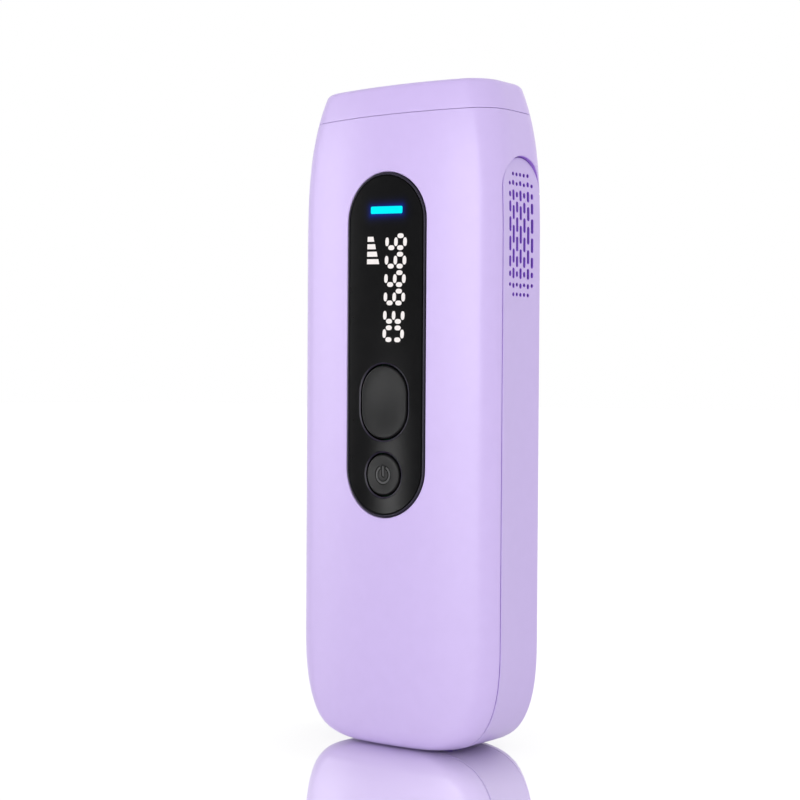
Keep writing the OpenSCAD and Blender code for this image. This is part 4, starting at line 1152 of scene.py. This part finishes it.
def soft(x, c, w, e):
    """1 inside c +- w, falling to 0 over the soft edge e"""
    n = wn.nodes.new("ShaderNodeMapRange")
    n.interpolation_type = "SMOOTHSTEP"
    wn.links.new(wm("ABSOLUTE", wm("SUBTRACT", x, c)), n.inputs["Value"])
    n.inputs["From Min"].default_value = w - e / 2
    n.inputs["From Max"].default_value = w + e / 2
    n.inputs["To Min"].default_value = 1.0
    n.inputs["To Max"].default_value = 0.0
    return n.outputs["Result"]


# even white room with a dark gap on one side of the front
DARK = soft(AZ, -36.0, 46.0, 20.0)
lp = wn.nodes.new("ShaderNodeLightPath")
second = wm("MULTIPLY", wm("GREATER_THAN", lp.outputs["Glossy Depth"], 1.5), wm("LESS_THAN", lp.outputs["Diffuse Depth"], 0.5))
seen = wm("SUBTRACT", 1.0, wm("MULTIPLY", lp.outputs["Is Glossy Ray"], wm("SUBTRACT", 1.0, second)))
level = wm("SUBTRACT", 1.0, wm("MULTIPLY", wm("MULTIPLY", DARK, 0.9), seen))
wn.links.new(level, bg.inputs["Strength"])
bg.inputs["Color"].default_value = (1, 1, 1, 1)
bg2 = wn.nodes.new("ShaderNodeBackground")
bg2.inputs["Color"].default_value = (1, 1, 1, 1)
bg2.inputs["Strength"].default_value = 1.0
mx = wn.nodes.new("ShaderNodeMixShader")
wn.links.new(lp.outputs["Is Camera Ray"], mx.inputs[0])
wn.links.new(bg.outputs[0], mx.inputs[1])
wn.links.new(bg2.outputs[0], mx.inputs[2])
wn.links.new(mx.outputs[0], wout.inputs[0])



def area(name, az, dist, z, w, h, power, glossy=True, diffuse=True, only=()):
    """a soft box that faces the object's axis at height z"""
    ld = bpy.data.lights.new(name, "AREA")
    ld.shape = "RECTANGLE"
    ld.size, ld.size_y, ld.energy = w, h, power
    o = bpy.data.objects.new(name, ld)
    bpy.context.scene.collection.objects.link(o)
    a = math.radians(az)
    loc = Vector((dist * math.sin(a), -dist * math.cos(a), z))
    zx = Vector((math.sin(a), -math.cos(a), 0.0))
    xx = Vector((math.cos(a), math.sin(a), 0.0))
    o.matrix_world = Matrix(((xx.x, 0, zx.x, loc.x), (xx.y, 0, zx.y, loc.y), (0, 1, 0, loc.z), (0, 0, 0, 1)))
    o.visible_camera = False
    o.visible_glossy = glossy
    o.visible_diffuse = diffuse
    if only:
        c = bpy.data.collections.new(name + "_lit")
        for q in only:
            c.objects.link(q)
        o.light_linking.receiver_collection = c
    return o


area("strip_left", -61.0, 3.0, 0.5, 0.5, 1.2, 15.0, diffuse=False)
area("box_front", -3.0, 3.0, 0.5, 0.95, 1.2, 26.0, diffuse=False)
area("box_rear_right", 124.0, 3.0, 0.5, 0.6, 1.2, 5.0, diffuse=False)
area("key_front", -14.0, 2.2, 0.45, 1.6, 1.4, 23.0, glossy=False)
area("card_low", -34.0, 0.7, 0.02, 0.09, 0.07, 0.7, diffuse=False, only=BLACKS)

bpy.context.scene.view_settings.view_transform = "Standard"
bpy.context.scene.view_settings.look = "None"
